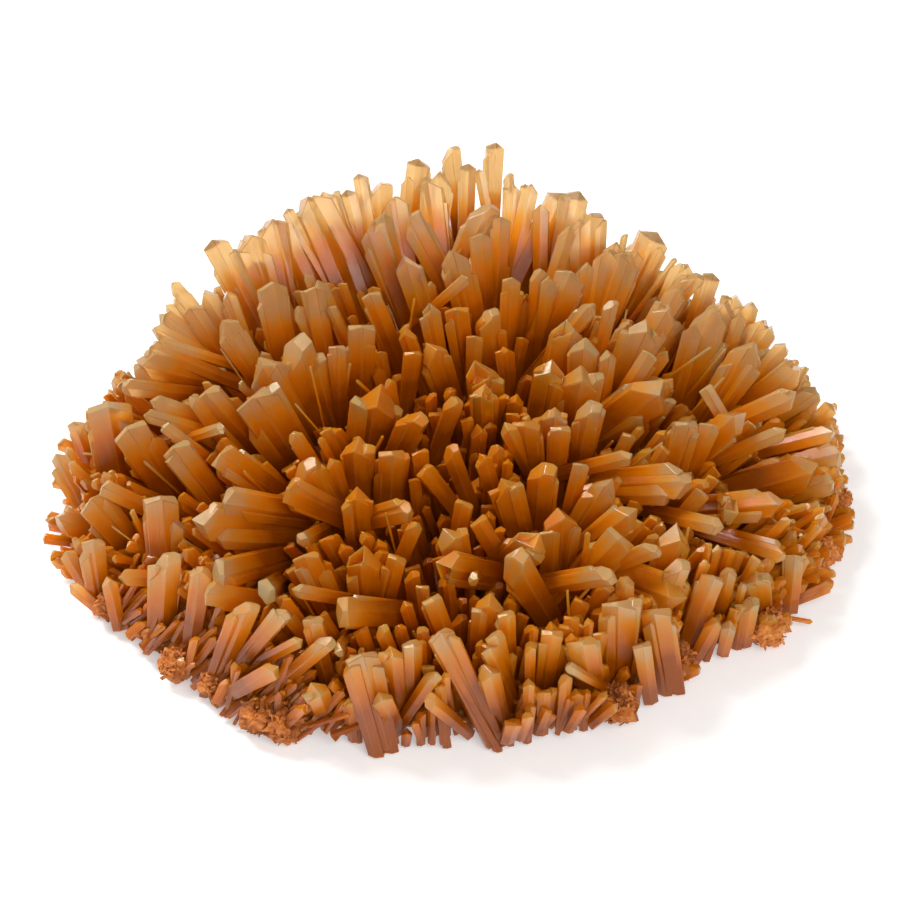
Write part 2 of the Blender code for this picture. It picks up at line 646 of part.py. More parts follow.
def plate_point(corner):
    """Moves a point of a unit ball to its place on the plate: a low crusted mound with a flat foot."""
    bearing = math.atan2(corner.y, corner.x)
    radius = plate_radius(bearing) + PLATE_CRUST
    share = min(1.0, math.hypot(corner.x, corner.y))
    if corner.z >= 0:
        place = outward(bearing) * radius * share
        place.z = plate_top(place.x, place.y)
    else:
        share *= PLATE_UNDERSIDE_SHARE
        place = outward(bearing) * radius * share
        place.z = PLATE_EDGE_LOW * smooth(RESTING_SHARE, 1.0, share)
    stands_on_floor = place.z < FLOOR_CLEARANCE / 2
    if not stands_on_floor:
        rough = noise.noise(place / PLATE_LUMP_SIZE) * PLATE_ROUGHNESS
        place += (outward(bearing) + Vector((0, 0, 0.6))) * rough
        place.z = max(place.z, FLOOR_CLEARANCE / 2)
    return place


def add_plate(collection):
    """The mound of fused roots and crust that every crystal grows from."""
    shape = bmesh.new()
    bmesh.ops.create_uvsphere(shape, u_segments=PLATE_SIDES, v_segments=PLATE_RINGS, radius=1)
    for corner in shape.verts:
        corner.co = plate_point(corner.co)
    mesh = bpy.data.meshes.new("gypsum_cluster")
    shape.to_mesh(mesh)
    shape.free()
    plate = bpy.data.objects.new("gypsum_cluster", mesh)
    collection.objects.link(plate)
    return plate


def gypsum():
    """Honey-coloured gypsum: cloudy, with a glassy surface."""
    material = bpy.data.materials.new("honey_gypsum")
    material.use_nodes = True
    surface = material.node_tree.nodes["Principled BSDF"]
    surface.inputs["Base Color"].default_value = (0.62, 0.28, 0.06, 1)
    surface.inputs["Roughness"].default_value = 0.28
    surface.inputs["Metallic"].default_value = 0.0
    surface.inputs["IOR"].default_value = 1.52
    return material


def join_crystals(plate, crystals):
    """Makes the plate and all its crystals one solid."""
    joined = plate.modifiers.new("crystals", "BOOLEAN")
    joined.operation = "UNION"
    joined.operand_type = "COLLECTION"
    joined.collection = crystals
    joined.solver = "EXACT"


def main():
    for old in list(bpy.data.objects):
        bpy.data.objects.remove(old)
    specimen = bpy.data.collections.new("gypsum_specimen")
    crystals = bpy.data.collections.new("crystals")
    for collection in (specimen, crystals):
        bpy.context.scene.collection.children.link(collection)
    dice = random.Random(7)
    plate = add_plate(specimen)
    plate.data.materials.append(gypsum())
    tips = add_view_crystals(dice, crystals)
    tips += add_back_crystals(dice, crystals)
    add_fillers(tips, dice, crystals)
    join_crystals(plate, crystals)


main()
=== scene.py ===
"""The looks of a cluster of honey-coloured gypsum crystals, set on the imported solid.

Metres and +Z up. Lengths ending in MM are real sizes, and picture coordinates are those of the
900 by 900 front view that this scene's camera shows.
"""

import json
import math
import random
from collections import namedtuple

import bmesh
import bpy
from mathutils import Matrix, Vector, noise

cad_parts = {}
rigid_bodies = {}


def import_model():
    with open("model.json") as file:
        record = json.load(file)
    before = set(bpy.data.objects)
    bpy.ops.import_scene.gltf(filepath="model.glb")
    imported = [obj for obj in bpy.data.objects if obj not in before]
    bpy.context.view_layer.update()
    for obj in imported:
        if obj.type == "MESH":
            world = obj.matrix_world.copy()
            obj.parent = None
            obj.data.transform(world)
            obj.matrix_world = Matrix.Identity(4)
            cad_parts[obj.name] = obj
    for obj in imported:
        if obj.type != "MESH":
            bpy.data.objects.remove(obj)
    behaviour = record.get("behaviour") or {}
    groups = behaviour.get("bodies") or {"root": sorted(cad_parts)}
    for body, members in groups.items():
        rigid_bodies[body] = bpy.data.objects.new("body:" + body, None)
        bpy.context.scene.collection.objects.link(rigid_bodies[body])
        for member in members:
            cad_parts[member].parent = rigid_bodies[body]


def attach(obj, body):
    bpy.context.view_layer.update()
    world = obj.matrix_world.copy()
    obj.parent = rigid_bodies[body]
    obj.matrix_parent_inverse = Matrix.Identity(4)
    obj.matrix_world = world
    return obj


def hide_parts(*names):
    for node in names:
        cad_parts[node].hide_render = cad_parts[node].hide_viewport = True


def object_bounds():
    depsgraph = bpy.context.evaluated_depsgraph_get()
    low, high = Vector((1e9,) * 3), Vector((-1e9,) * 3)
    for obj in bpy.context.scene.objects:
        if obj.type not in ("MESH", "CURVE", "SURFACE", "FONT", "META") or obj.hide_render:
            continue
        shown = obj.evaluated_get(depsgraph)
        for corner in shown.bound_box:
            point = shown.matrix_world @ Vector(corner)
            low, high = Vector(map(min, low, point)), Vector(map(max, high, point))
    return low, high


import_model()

NODE = "gypsum_cluster"
CAD_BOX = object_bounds()
MM = 0.001

# The plate that the crystals grow from.
PLATE_WIDTH = 296 * MM
PLATE_DEPTH = 284 * MM
PLATE_EDGE_LOW = 4 * MM
PLATE_EDGE_TOP = 9 * MM
PLATE_RISE_BACK = 42 * MM
PLATE_RISE_FRONT = 26 * MM
PLATE_CROWN_POWER = 0.8
PLATE_UNDERSIDE_SHARE = 0.97
RESTING_SHARE = 0.72

# Where the plate's edge leaves a plain oval: bearing and spread in degrees, then how far out it goes.
PLATE_LOBES = (
    (-176, 14, 5 * MM),
    (-160, 8, 3 * MM),
    (-140, 8, 1 * MM),
    (-119, 9, 7 * MM),
    (-90, 14, -2 * MM),
    (-72, 7, -2 * MM),
    (-47, 16, -13 * MM),
    (-15, 12, -2 * MM),
    (2, 12, 4 * MM),
    (24, 14, 5 * MM),
    (95, 20, 4 * MM),
    (140, 14, -7 * MM),
)

# The back half starts rising above the front half here, and is at its full height here.
BACK_RISES_FROM = -60 * MM
BACK_RISES_BY = 60 * MM

# How far the tips stand above the mass of fused roots, at the back and at the front.
CRYSTAL_COVER_BACK = 34 * MM
CRYSTAL_COVER_FRONT = 26 * MM

# The surface that the crystal tips reach, and the low middle that they lean away from.
TIP_HEIGHT = 76 * MM
TIP_SPREAD = 4 * MM
TIP_DROP_AT_SIDES = 26 * MM
SIDE_DROP_POWER = 2.2
TIP_DROP_AT_FRONT = 20 * MM
FRONT_DROPS_FROM = -60 * MM
FRONT_DROPS_BY = 120 * MM
TIP_DROP_AT_RIM = 40 * MM
RIM_FROM = 0.84
RIM_TO = 1.16
FARTHEST_TIP = 1.12
HOLLOW_DEPTH = 22 * MM
HOLLOW_RADIUS = 24 * MM
HOLLOW_CENTRE = Vector((8 * MM, 36 * MM))
SPRAY_DEPTH = 62 * MM
FRONT_STANDS_FROM = -25 * MM
FRONT_STANDS_BY = 55 * MM
FRONT_UPRIGHT = 0.88

# The front view: where its camera stands, and how large a millimetre looks in it.
VIEW_ELEVATION = math.radians(37)
VIEW_DISTANCE = 1150 * MM
VIEW_TARGET = Vector((-2 * MM, 42 * MM, 0))
VIEW_PIXELS = 900
VIEW_WIDTH = 362 * MM
CELL_PIXELS = 3

# How much deeper than the solid's the gaps between the crystals go. A share is of the plate's radius.
GAPS_DEEPER = 10 * MM
GAPS_SHALLOWER_FROM = 0.72
GAPS_AS_SOLID_FROM = 0.92

# How a crystal is rooted in the plate, and how long it is.
ROOT_BURIED = 4 * MM
FILLER_BURIED = 7 * MM
ROOT_WITHIN = 0.97
ROOT_WITHIN_IN_FRONT = 0.92
SHOULDER_SHARE = 0.78
SHOULDER_WAVE = 0.1
SHOULDER_WAVE_SIZE = 4 * MM
FLOOR_CLEARANCE = 1.2 * MM
LONGEST_CRYSTAL = 70 * MM
LENGTH_WITHOUT_ROOT = 42 * MM
STANDING_HEIGHT = 3 * MM
STANDING_FROM = 0.90
STANDING_TO = 0.975
LEAST_FORESHORTENING = 0.35
SEEN_SHARE = 1.4
STEP_ALONG = 1 * MM
SHOWN_HALF_WIDTH = 0.45
HIDING_HALF_WIDTH = 0.4
FURTHER_TILTS = (0, 5, 10, 15, 20, 25, 30, -5, -10, -15, -20, 40, 50)

# How much further a root may run, how low it may then end, and how far out.
ROOTS_FURTHER = (
    (8 * MM, 7 * MM, 0.92),
    (5 * MM, 3.5 * MM, 0.95),
    (3 * MM, 2 * MM, 0.97),
)

# A crystal's section, and the narrower crystals beside a large one.
CRYSTAL_SIDES = 6
ROOT_SHARE = 0.80
FLATNESS = (0.60, 0.95)
FLAT_SIDE_WIDENING = 1.3
MOST_TWIST = 24
LEAST_BEVELLED = 3.6 * MM
LEAST_CRATERED = 6 * MM
LEAST_WITH_ONE = 6 * MM
LEAST_WITH_TWO = 9 * MM
BESIDE_COMPANIONS = 0.85
COMPANION_OUT = (0.24, 0.38)
COMPANION_DOWN = (0.15, 0.9)
COMPANION_WIDTH = (0.40, 0.62)
MOST_COMPANION_TURN = 0.5
MOST_COMPANION_LEAN = 0.07
FLAT_SIDE_FROM = 0.1
LEAST_SIDE = 0.2
GRAIN_SHIFT = 500
CRYSTAL_SEED = 11

# How deep the crystals' tones are, from the palest to the deepest: deeper for those between, the small ones
# and the blades than for the large ones.
LARGE_TONES = (0.0, 0.9)
BETWEEN_TONES = (0.4, 1.3)
SMALL_TONES = (0.5, 1.5)
BLADE_TONES = (0.7, 1.7)

# The crystals between those that the view shows one by one. A sway is how much their directions differ.
FILLER_SPACING = 7.2 * MM
FILLER_WIDTH = (2.4 * MM, 6.2 * MM)
FILLER_REACH = (0.45, 0.88)
FILLER_SWAY = 0.08
LEAST_FILLER = 8 * MM
FARTHEST_FILLER = 0.985
SPOT_SHIFT = 0.4
SPREAD_OF_SPRAY = 1.1
SPROUTS = 1100
SPROUT_AREA = 0.94
SPROUT_LENGTH = (6 * MM, 14 * MM)
SPROUT_WIDTH = (1.6 * MM, 3.8 * MM)
SPROUT_SWAY = 0.22
LEAST_SPROUT = 5 * MM
NEEDLES = 70
NEEDLE_AREA = 0.9
NEEDLE_WIDTH = (0.6 * MM, 1.2 * MM)
NEEDLE_REACH = (0.6, 0.9)
NEEDLE_SWAY = 0.3
NEEDLES_WITHIN = 0.9

# The rows of crystals that stand out of the plate's edge, from the lowest row upwards. The left of
# the back, in degrees, is low, and the front of the rim goes by the distance in front of the middle.
RIM_ROWS = (5 * MM, 10 * MM, 16 * MM, 23 * MM)
RIM_FOOT = 0.955
RIM_ROW_STEP = 0.03
RIM_FOOT_SPREAD = 0.05
RAISED_A_STEP = 0.3
RIM_SPACING = 4.4 * MM
RIM_LENGTH = (11 * MM, 26 * MM)
RIM_CRYSTAL_WIDTH = (1.6 * MM, 5.4 * MM)
RIM_SWAY = 0.34
RIM_REACH = 0.985
LOW_RIM = (144, 184)
LEAST_RIM = 6 * MM
RIM_RAISINGS = 8
RIM_SHIFT = 0.5
FRONT_RIM_LOWER = 0.5
FRONT_RIM_LONGER = 0.5
RIM_UPRIGHT = 0.40
RIM_UPRIGHT_A_ROW = 0.35
FRONT_RIM_UPRIGHT = 1.4
FRONT_RIM_UPRIGHT_A_ROW = 1.2
RIM_HEIGHT_SPREAD = 2
FRONT_OF_RIM = (50 * MM, 110 * MM)

# The slender blades on the left part of the front rim.
BLADES = 420
BLADE_BEARINGS = (204, 254)
BLADE_FEET = (0.80, 0.985)
BLADE_LOWEST = 2 * MM
BLADE_BURIED = (1 * MM, 8 * MM)
BLADE_SWAY = 0.2
BLADE_LEAN = (0.62, 0.10, 0.80)
BLADE_WIDTH = (1.3 * MM, 3.6 * MM)
BLADE_LENGTH = (9 * MM, 23 * MM)

# The masses of roots, one in each piece of crystals: how far inside the plate, and how finely meshed.
ROOTS_INSIDE = 9 * MM
FURTHER_INSIDE_A_PIECE = 1 * MM
ROOTS_MESH = (60, 24)

# The crust: how far it lies inside the plate's outline, how rough it is, and its splinters.
CRUST_INSIDE = 3 * MM
CRUST_FURTHER_INSIDE = 4 * MM
CRUST_FRONT = (0.3, 0.9)
CRUST_MESH = (220, 70)
CRUST_ROUGH = 3.2 * MM
CRUST_LUMP_SIZE = 11 * MM
CRUST_PIMPLE_SIZE = 4 * MM
CRUST_PIMPLES = 0.6
CRUST_SUNK = 0.6
CRUST_ROUGH_UPWARDS = 0.6
CRUST_FLAT_BELOW = 0.5 * MM
LOWEST_CRUST = 0.6 * MM
SPLINTERS = 9000
SPLINTER_SPREAD = 0.08
SPLINTER_SIZE = (0.5 * MM, 1.4 * MM)
SPLINTER_ALONG = (1.2, 3.6)
SPLINTER_THIN = (0.3, 0.9)
SPLINTER_CORNER = (0.6, 1.1)
CRUST_SEED = 23
LOWEST_GRAIN = 0.3 * MM
FULL_TURN = 6.28

# The lumps of crust that the front view shows on the rim: where, and how large in millimetres.
LUMPS = (
    (108, 606, 5),
    (156, 632, 5),
    (176, 664, 6),
    (218, 684, 6),
    (260, 714, 7),
    (286, 720, 8),
    (330, 712, 5),
    (618, 704, 7),
    (676, 660, 7),
    (768, 628, 7),
    (822, 552, 6),
    (836, 500, 6),
)
LUMP_HEIGHT = 8 * MM
LUMP_FLATNESS = 0.75
LUMP_BULGE_SIZE = 5 * MM
LUMP_PIMPLE_SIZE = 1.5 * MM
LUMP_BULGES = 0.5
LUMP_PIMPLES = 0.4
LUMP_UNLIKENESS = 90
LUMP_SPLINTERS_OUT = (0.85, 1.05)
SPLINTERS_A_LUMP = 150

# How much deeper than it lies a place is coloured: darker towards the front, and stained at the rim
# and low on it. Then from where to where the rim and the front are.
DARKER_IN_FRONT = 19 * MM
STAIN_AT_RIM = 6 * MM
STAIN_LOW_ON_RIM = 8 * MM
STAINED_RIM = (0.74, 0.98)
STAINED_HEIGHT = (6 * MM, 34 * MM)
DARKER_TOWARDS_FRONT_SPAN = (-70 * MM, 60 * MM)

# Places of painted shade, in the low hollow and a low stretch in front: where, how far it reaches and how
# much deeper it makes them look.
PAINTED_SHADE_PLACES = (
    ((6 * MM, 36 * MM), 40 * MM, 40 * MM),
    ((-14 * MM, -50 * MM), 56 * MM, 30 * MM),
)

# Honey gypsum: how far below its tip it takes on amber, how far below the tips' surface it takes on
# amber and painted shade between the crystals, and its colours from the palest to the deepest; the
# deepest stand partly for that painted shade.
LENGTHWISE = 0.04
AMBER_BELOW_TIP = 38
AMBER_AND_PAINTED_SHADE_AT_DEPTH = 68
PALENESS = -0.88
CRYSTAL_STOPS = (
    (0.00, (0.95, 0.65, 0.28)),
    (0.22, (0.93, 0.455, 0.06)),
    (0.46, (0.88, 0.29, 0.005)),
    (0.74, (0.64, 0.165, 0.001)),
    (1.00, (0.37, 0.082, 0.0005)),
)
# The colour of the painted edge lines, which stand in for light caught at the crystals' edges.
PAINTED_EDGE_COLOUR = (0.62, 0.32, 0.09)

# How strongly a crystal's own tone, its fine lines, its streaks and its clouds deepen its colour.
TONE_WEIGHT = 0.34
LINES_WEIGHT = 0.26
STREAKS_WEIGHT = 0.16
CLOUDS_WEIGHT = 0.28

# Clearness at its highest, and what clouds, streaks and a deeper colour take from it.
CLEARNESS = 0.68
LESS_CLEAR_IN_CLOUDS = -0.06
LESS_CLEAR_IN_STREAKS = -0.04
LESS_CLEAR_WHERE_DEEP = -0.40

# Painted edge lines: where the crystal is pale its bevels take an amber that stands in for the light caught
# at its edges.
PAINTED_EDGE_WEIGHT = 0.6
PAINTED_EDGE_LESS_WHERE_DEEP = -0.5

# The noises in a crystal: scale, detail and roughness, then contrast, and the bump of its fine lines.
LINES_NOISE = (1.7, 5, 0.7)
STREAKS_NOISE = (0.40, 3, 0.55)
STREAKS_CONTRAST = 2.6
CLOUDS_NOISE = (130, 4, 0.55)
CLOUDS_CONTRAST = 1.8
LINES_BUMP = (0.35, 0.5 * MM)

# How a crystal passes, scatters and takes up light.
GYPSUM_IOR = 1.52
SMOOTHEST = 0.02
ROUGHER_IN_CLOUDS = 0.10
SCATTERED_SHARE = 0.7
SCATTERED_BY_COLOUR = (1.0, 0.7, 0.4)
SCATTERED_WITHIN = 3 * MM
LEFT_AFTER_PASSING = (1.0, 0.70, 0.28)
ABSORPTION_DENSITY = 60

# Rusty crust: its colours from the darkest to the palest, and its grains.
CRUST_PATCHES_NOISE = (150, 6, 0.7)
CRUST_GRAINS_NOISE = (900, 5, 0.7)
CRUST_LIGHTNESS = 0.20
# The crust's painted shade, which grows with the depth below the tips' surface.
CRUST_PAINTED_SHADE_BY_DEPTH = -1 / 160
CRUST_ROUGHNESS = 0.3
CRUST_ROUGHER_IN_GRAINS = 0.5
CRUST_BUMP = (0.8, 0.6 * MM)
CRUST_STOPS = (
    (0.22, (0.26, 0.065, 0.008)),
    (0.42, (0.62, 0.19, 0.028)),
    (0.60, (0.84, 0.35, 0.080)),
    (0.80, (0.93, 0.60, 0.28)),
)

# The studio: each soft light's place and size are in metres.
SURROUND_COLOUR = (1.0, 0.96, 0.89)
SURROUND_STRENGTH = 0.24
KEY_PLACE = (-0.7, 0.45, 1.1)
KEY_SIZE = 0.6
KEY_POWER = 19
FILL_PLACE = (0.4, -1.2, 1.0)
FILL_SIZE = 1.0
FILL_POWER = 15
LIGHTS_AIM = Vector((0, 0, 30 * MM))
FLOOR_HALF_WIDTH = 6
FLOOR_COLOUR = (0.85, 0.85, 0.85)
FLOOR_ROUGHNESS = 0.9
FLOOR_SHEEN = 0.1
FLOOR_GLOW = 0.35

# The corners and faces of the block that a splinter is made from.
CUBE_CORNERS = [(x, y, z) for z in (-1, 1) for y in (-1, 1) for x in (-1, 1)]
CUBE_FACES = ((0, 2, 3, 1), (4, 5, 7, 6), (0, 1, 5, 4), (2, 6, 7, 3), (0, 4, 6, 2), (1, 3, 7, 5))

Crystal = namedtuple("Crystal", "tip foot width end tilt", defaults=(None,))

# How a crystal ends: each cut has its slope, its bearing round the axis and its drop below the tip,
# as a share of the width.
ROOF = ((26, 0, 0.0), (34, 180, 0.02), (40, 275, 0.15))
FLAT = ((6, 70, 0.0), (48, 5, 0.21), (42, 190, 0.23))
POINT = ((58, 15, 0.0), (44, 195, 0.0), (40, 280, 0.03))
SLANT = ((24, 300, 0.0), (52, 20, 0.15), (18, 120, 0.03))
HOLLOW = ((10, 280, 0.0), (44, 10, 0.20), (46, 185, 0.20))
CUT_SCATTER = 6
BEVEL = 0.03
NOT_BEVELLED_BELOW = 0.1
LONG_EDGE = 0.5
CRATER_WALL = 0.16
CRATER_DEPTH = 0.45

# Each row is a crystal that the front view shows: the picture coordinates of its tip and of its foot,
# its width in millimetres, its end and, where it is given, how far it points towards the viewer, in
# degrees.
BACK = [
    (212, 238, 245, 300, 11.0, ROOF),
    (171, 283, 190, 305, 5.0, POINT),
    (165, 303, 182, 322, 3.5, FLAT),
    (202, 288, 217, 312, 8.0, FLAT),
    (262, 224, 277, 268, 12.0, FLAT),
    (277, 217, 292, 250, 9.0, FLAT),
    (286, 209, 297, 228, 4.5, ROOF),
    (311, 189, 350, 260, 13.0, FLAT),
    (294, 214, 330, 266, 5.0, SLANT),
    (332, 194, 343, 218, 4.5, ROOF),
    (348, 189, 357, 225, 6.0, ROOF),
    (360, 173, 367, 215, 5.5, ROOF),
    (379, 181, 379, 232, 11.5, SLANT),
    (382, 214, 396, 270, 7.5, ROOF),
    (368, 223, 402, 312, 10.5, HOLLOW),
    (403, 254, 431, 335, 10.5, HOLLOW),
    (409, 214, 444, 282, 10.0, SLANT),
    (420, 158, 409, 228, 10.0, ROOF),
    (439, 167, 434, 228, 12.0, FLAT),
    (450, 147, 456, 195, 8.5, SLANT),
    (468, 164, 466, 232, 7.0, ROOF),
    (431, 181, 438, 238, 10.5, ROOF),
    (479, 169, 483, 190, 4.0, ROOF),
    (495, 142, 492, 205, 8.0, ROOF),
    (508, 173, 510, 198, 4.0, SLANT),
    (515, 181, 511, 235, 8.5, FLAT),
    (532, 181, 524, 218, 7.5, FLAT),
    (541, 201, 541, 228, 6.0, FLAT),
    (562, 192, 528, 265, 11.0, ROOF),
    (577, 190, 568, 238, 10.5, ROOF),
    (589, 212, 588, 268, 12.5, SLANT),
    (570, 225, 558, 264, 6.0, POINT),
    (502, 216, 497, 305, 7.5, ROOF),
    (480, 232, 483, 290, 9.0, ROOF),
    (489, 203, 463, 262, 11.5, SLANT),
    (450, 245, 463, 292, 11.5, FLAT),
    (468, 277, 449, 293, 4.0, ROOF),
    (512, 276, 508, 332, 7.5, ROOF),
    (539, 268, 536, 345, 6.0, POINT),
    (549, 274, 545, 312, 5.0, FLAT),
    (574, 270, 552, 325, 13.0, ROOF),
    (588, 260, 585, 283, 5.0, FLAT),
    (613, 244, 604, 292, 12.0, FLAT),
    (625, 234, 607, 245, 2.5, SLANT),
    (634, 250, 618, 292, 11.0, FLAT),
    (657, 231, 628, 292, 14.0, ROOF),
    (676, 258, 663, 276, 2.0, POINT),
    (683, 260, 671, 288, 6.0, FLAT),
    (698, 273, 674, 302, 8.0, SLANT),
    (713, 272, 699, 317, 7.5, ROOF),
    (729, 297, 706, 345, 12.5, FLAT),
    (752, 301, 744, 337, 6.0, POINT),
    (742, 312, 731, 348, 5.0, FLAT),
    (774, 324, 755, 354, 7.5, FLAT),
    (788, 342, 764, 370, 7.0, FLAT),
]

LEFT = [
    (150, 327, 186, 346, 5.5, FLAT),
    (162, 314, 190, 336, 5.5, ROOF),
    (156, 341, 192, 352, 4.0, FLAT),
    (190, 305, 215, 345, 9.0, ROOF),
    (226, 289, 241, 332, 6.5, FLAT),
    (222, 320, 250, 365, 11.0, POINT),
    (270, 280, 282, 350, 12.0, ROOF),
    (148, 347, 187, 363, 5.5, ROOF),
    (134, 362, 177, 371, 12.0, FLAT),
    (122, 387, 190, 392, 7.0, POINT),
    (149, 400, 186, 413, 6.5, FLAT),
    (142, 414, 182, 426, 5.0, FLAT),
    (162, 425, 183, 441, 4.0, ROOF),
    (222, 428, 186, 437, 4.0, SLANT),
    (191, 395, 204, 416, 5.0, FLAT),
    (205, 388, 240, 430, 9.0, ROOF),
    (258, 356, 297, 427, 14.0, FLAT),
    (250, 391, 296, 466, 18.0, ROOF),
    (292, 344, 324, 432, 15.0, SLANT),
    (313, 285, 322, 342, 9.0, ROOF),
    (292, 432, 316, 472, 6.5, POINT),
    (300, 465, 328, 508, 13.0, SLANT),
    (284, 487, 320, 506, 11.0, ROOF),
    (220, 500, 292, 512, 10.5, ROOF),
    (192, 522, 256, 528, 13.5, FLAT),
    (217, 452, 256, 482, 11.0, ROOF),
    (172, 443, 204, 488, 11.5, ROOF),
    (125, 424, 159, 480, 14.5, ROOF),
    (108, 398, 116, 472, 18.0, ROOF),
    (75, 420, 96, 486, 7.5, ROOF),
    (53, 454, 81, 512, 7.5, ROOF),
    (88, 497, 122, 542, 13.0, ROOF),
    (54, 517, 122, 546, 10.5, POINT),
    (66, 550, 90, 592, 6.0, ROOF),
    (93, 537, 101, 602, 9.0, ROOF),
    (68, 582, 85, 617, 5.0, FLAT),
    (108, 575, 112, 632, 5.5, FLAT),
    (160, 492, 161, 575, 13.5, ROOF),
    (166, 556, 157, 628, 11.5, SLANT),
    (116, 577, 146, 579, 5.5, FLAT),
    (100, 486, 152, 513, 6.0, ROOF),
]

RIGHT = [
    (715, 307, 690, 392, 15.0, POINT),
    (682, 284, 655, 332, 9.0, FLAT),
    (672, 303, 645, 350, 11.0, FLAT),
    (612, 301, 602, 347, 5.0, SLANT),
    (595, 303, 572, 330, 7.0, FLAT),
    (572, 320, 556, 388, 14.0, HOLLOW),
    (585, 338, 586, 378, 12.0, FLAT),
    (609, 350, 605, 397, 5.5, FLAT),
    (650, 320, 622, 385, 13.0, FLAT),
    (652, 352, 636, 378, 6.0, ROOF),
    (668, 384, 606, 428, 17.0, FLAT),
    (704, 386, 723, 413, 5.0, ROOF),
    (758, 338, 722, 398, 14.0, FLAT),
    (798, 394, 740, 420, 9.0, FLAT),
    (804, 366, 764, 396, 10.0, FLAT),
    (820, 388, 790, 408, 8.0, FLAT),
    (834, 404, 812, 428, 7.0, ROOF),
    (744, 411, 699, 455, 11.5, FLAT),
    (688, 419, 680, 457, 10.0, ROOF),
    (712, 422, 699, 457, 8.0, ROOF),
    (838, 432, 783, 446, 8.0, FLAT),
    (843, 455, 812, 463, 9.0, ROOF),
    (822, 467, 745, 491, 15.5, FLAT),
    (788, 430, 756, 444, 5.5, FLAT),
    (692, 482, 628, 486, 13.0, POINT),
    (634, 456, 606, 463, 5.5, FLAT),
    (787, 503, 744, 507, 10.0, FLAT),
    (836, 483, 803, 492, 9.0, ROOF),
    (732, 512, 728, 498, 9.5, HOLLOW, 60),
]

CENTRE = [
    (590, 404, 583, 464, 10.0, SLANT),
    (561, 425, 556, 502, 8.0, ROOF),
    (525, 419, 536, 478, 11.0, ROOF),
    (505, 424, 520, 450, 6.0, FLAT),
    (582, 462, 571, 512, 5.5, ROOF),
    (613, 478, 583, 527, 11.0, FLAT),
    (637, 510, 598, 540, 10.0, FLAT),
    (503, 478, 516, 522, 11.0, FLAT),
    (543, 465, 540, 524, 11.0, SLANT),
    (482, 453, 492, 487, 6.5, FLAT),
    (449, 448, 468, 498, 6.0, SLANT),
    (422, 467, 451, 505, 6.0, ROOF),
    (420, 449, 421, 468, 5.5, ROOF),
    (456, 398, 438, 447, 6.0, POINT),
    (413, 350, 405, 410, 6.0, ROOF),
    (362, 322, 356, 428, 11.0, ROOF),
    (369, 291, 393, 346, 8.0, ROOF),
    (380, 389, 368, 452, 16.0, FLAT),
    (389, 379, 392, 396, 4.0, POINT),
    (357, 439, 358, 492, 12.0, FLAT),
    (393, 448, 390, 492, 11.0, ROOF),
    (418, 414, 397, 452, 10.0, SLANT),
    (337, 344, 338, 412, 7.0, ROOF),
    (331, 457, 341, 492, 5.0, FLAT),
    (430, 303, 437, 345, 7.5, HOLLOW),
    (456, 305, 463, 350, 10.0, ROOF),
    (488, 311, 492, 350, 9.5, SLANT),
    (475, 334, 474, 366, 6.0, ROOF),
    (482, 363, 484, 385, 13.0, HOLLOW),
    (505, 345, 508, 380, 7.5, FLAT),
    (483, 387, 484, 412, 9.5, HOLLOW),
    (552, 362, 545, 400, 12.0, HOLLOW),
    (583, 367, 578, 415, 15.0, FLAT),
    (555, 408, 556, 440, 10.0, FLAT),
    (404, 328, 412, 350, 7.0, HOLLOW),
    (430, 342, 440, 370, 11.0, FLAT),
]

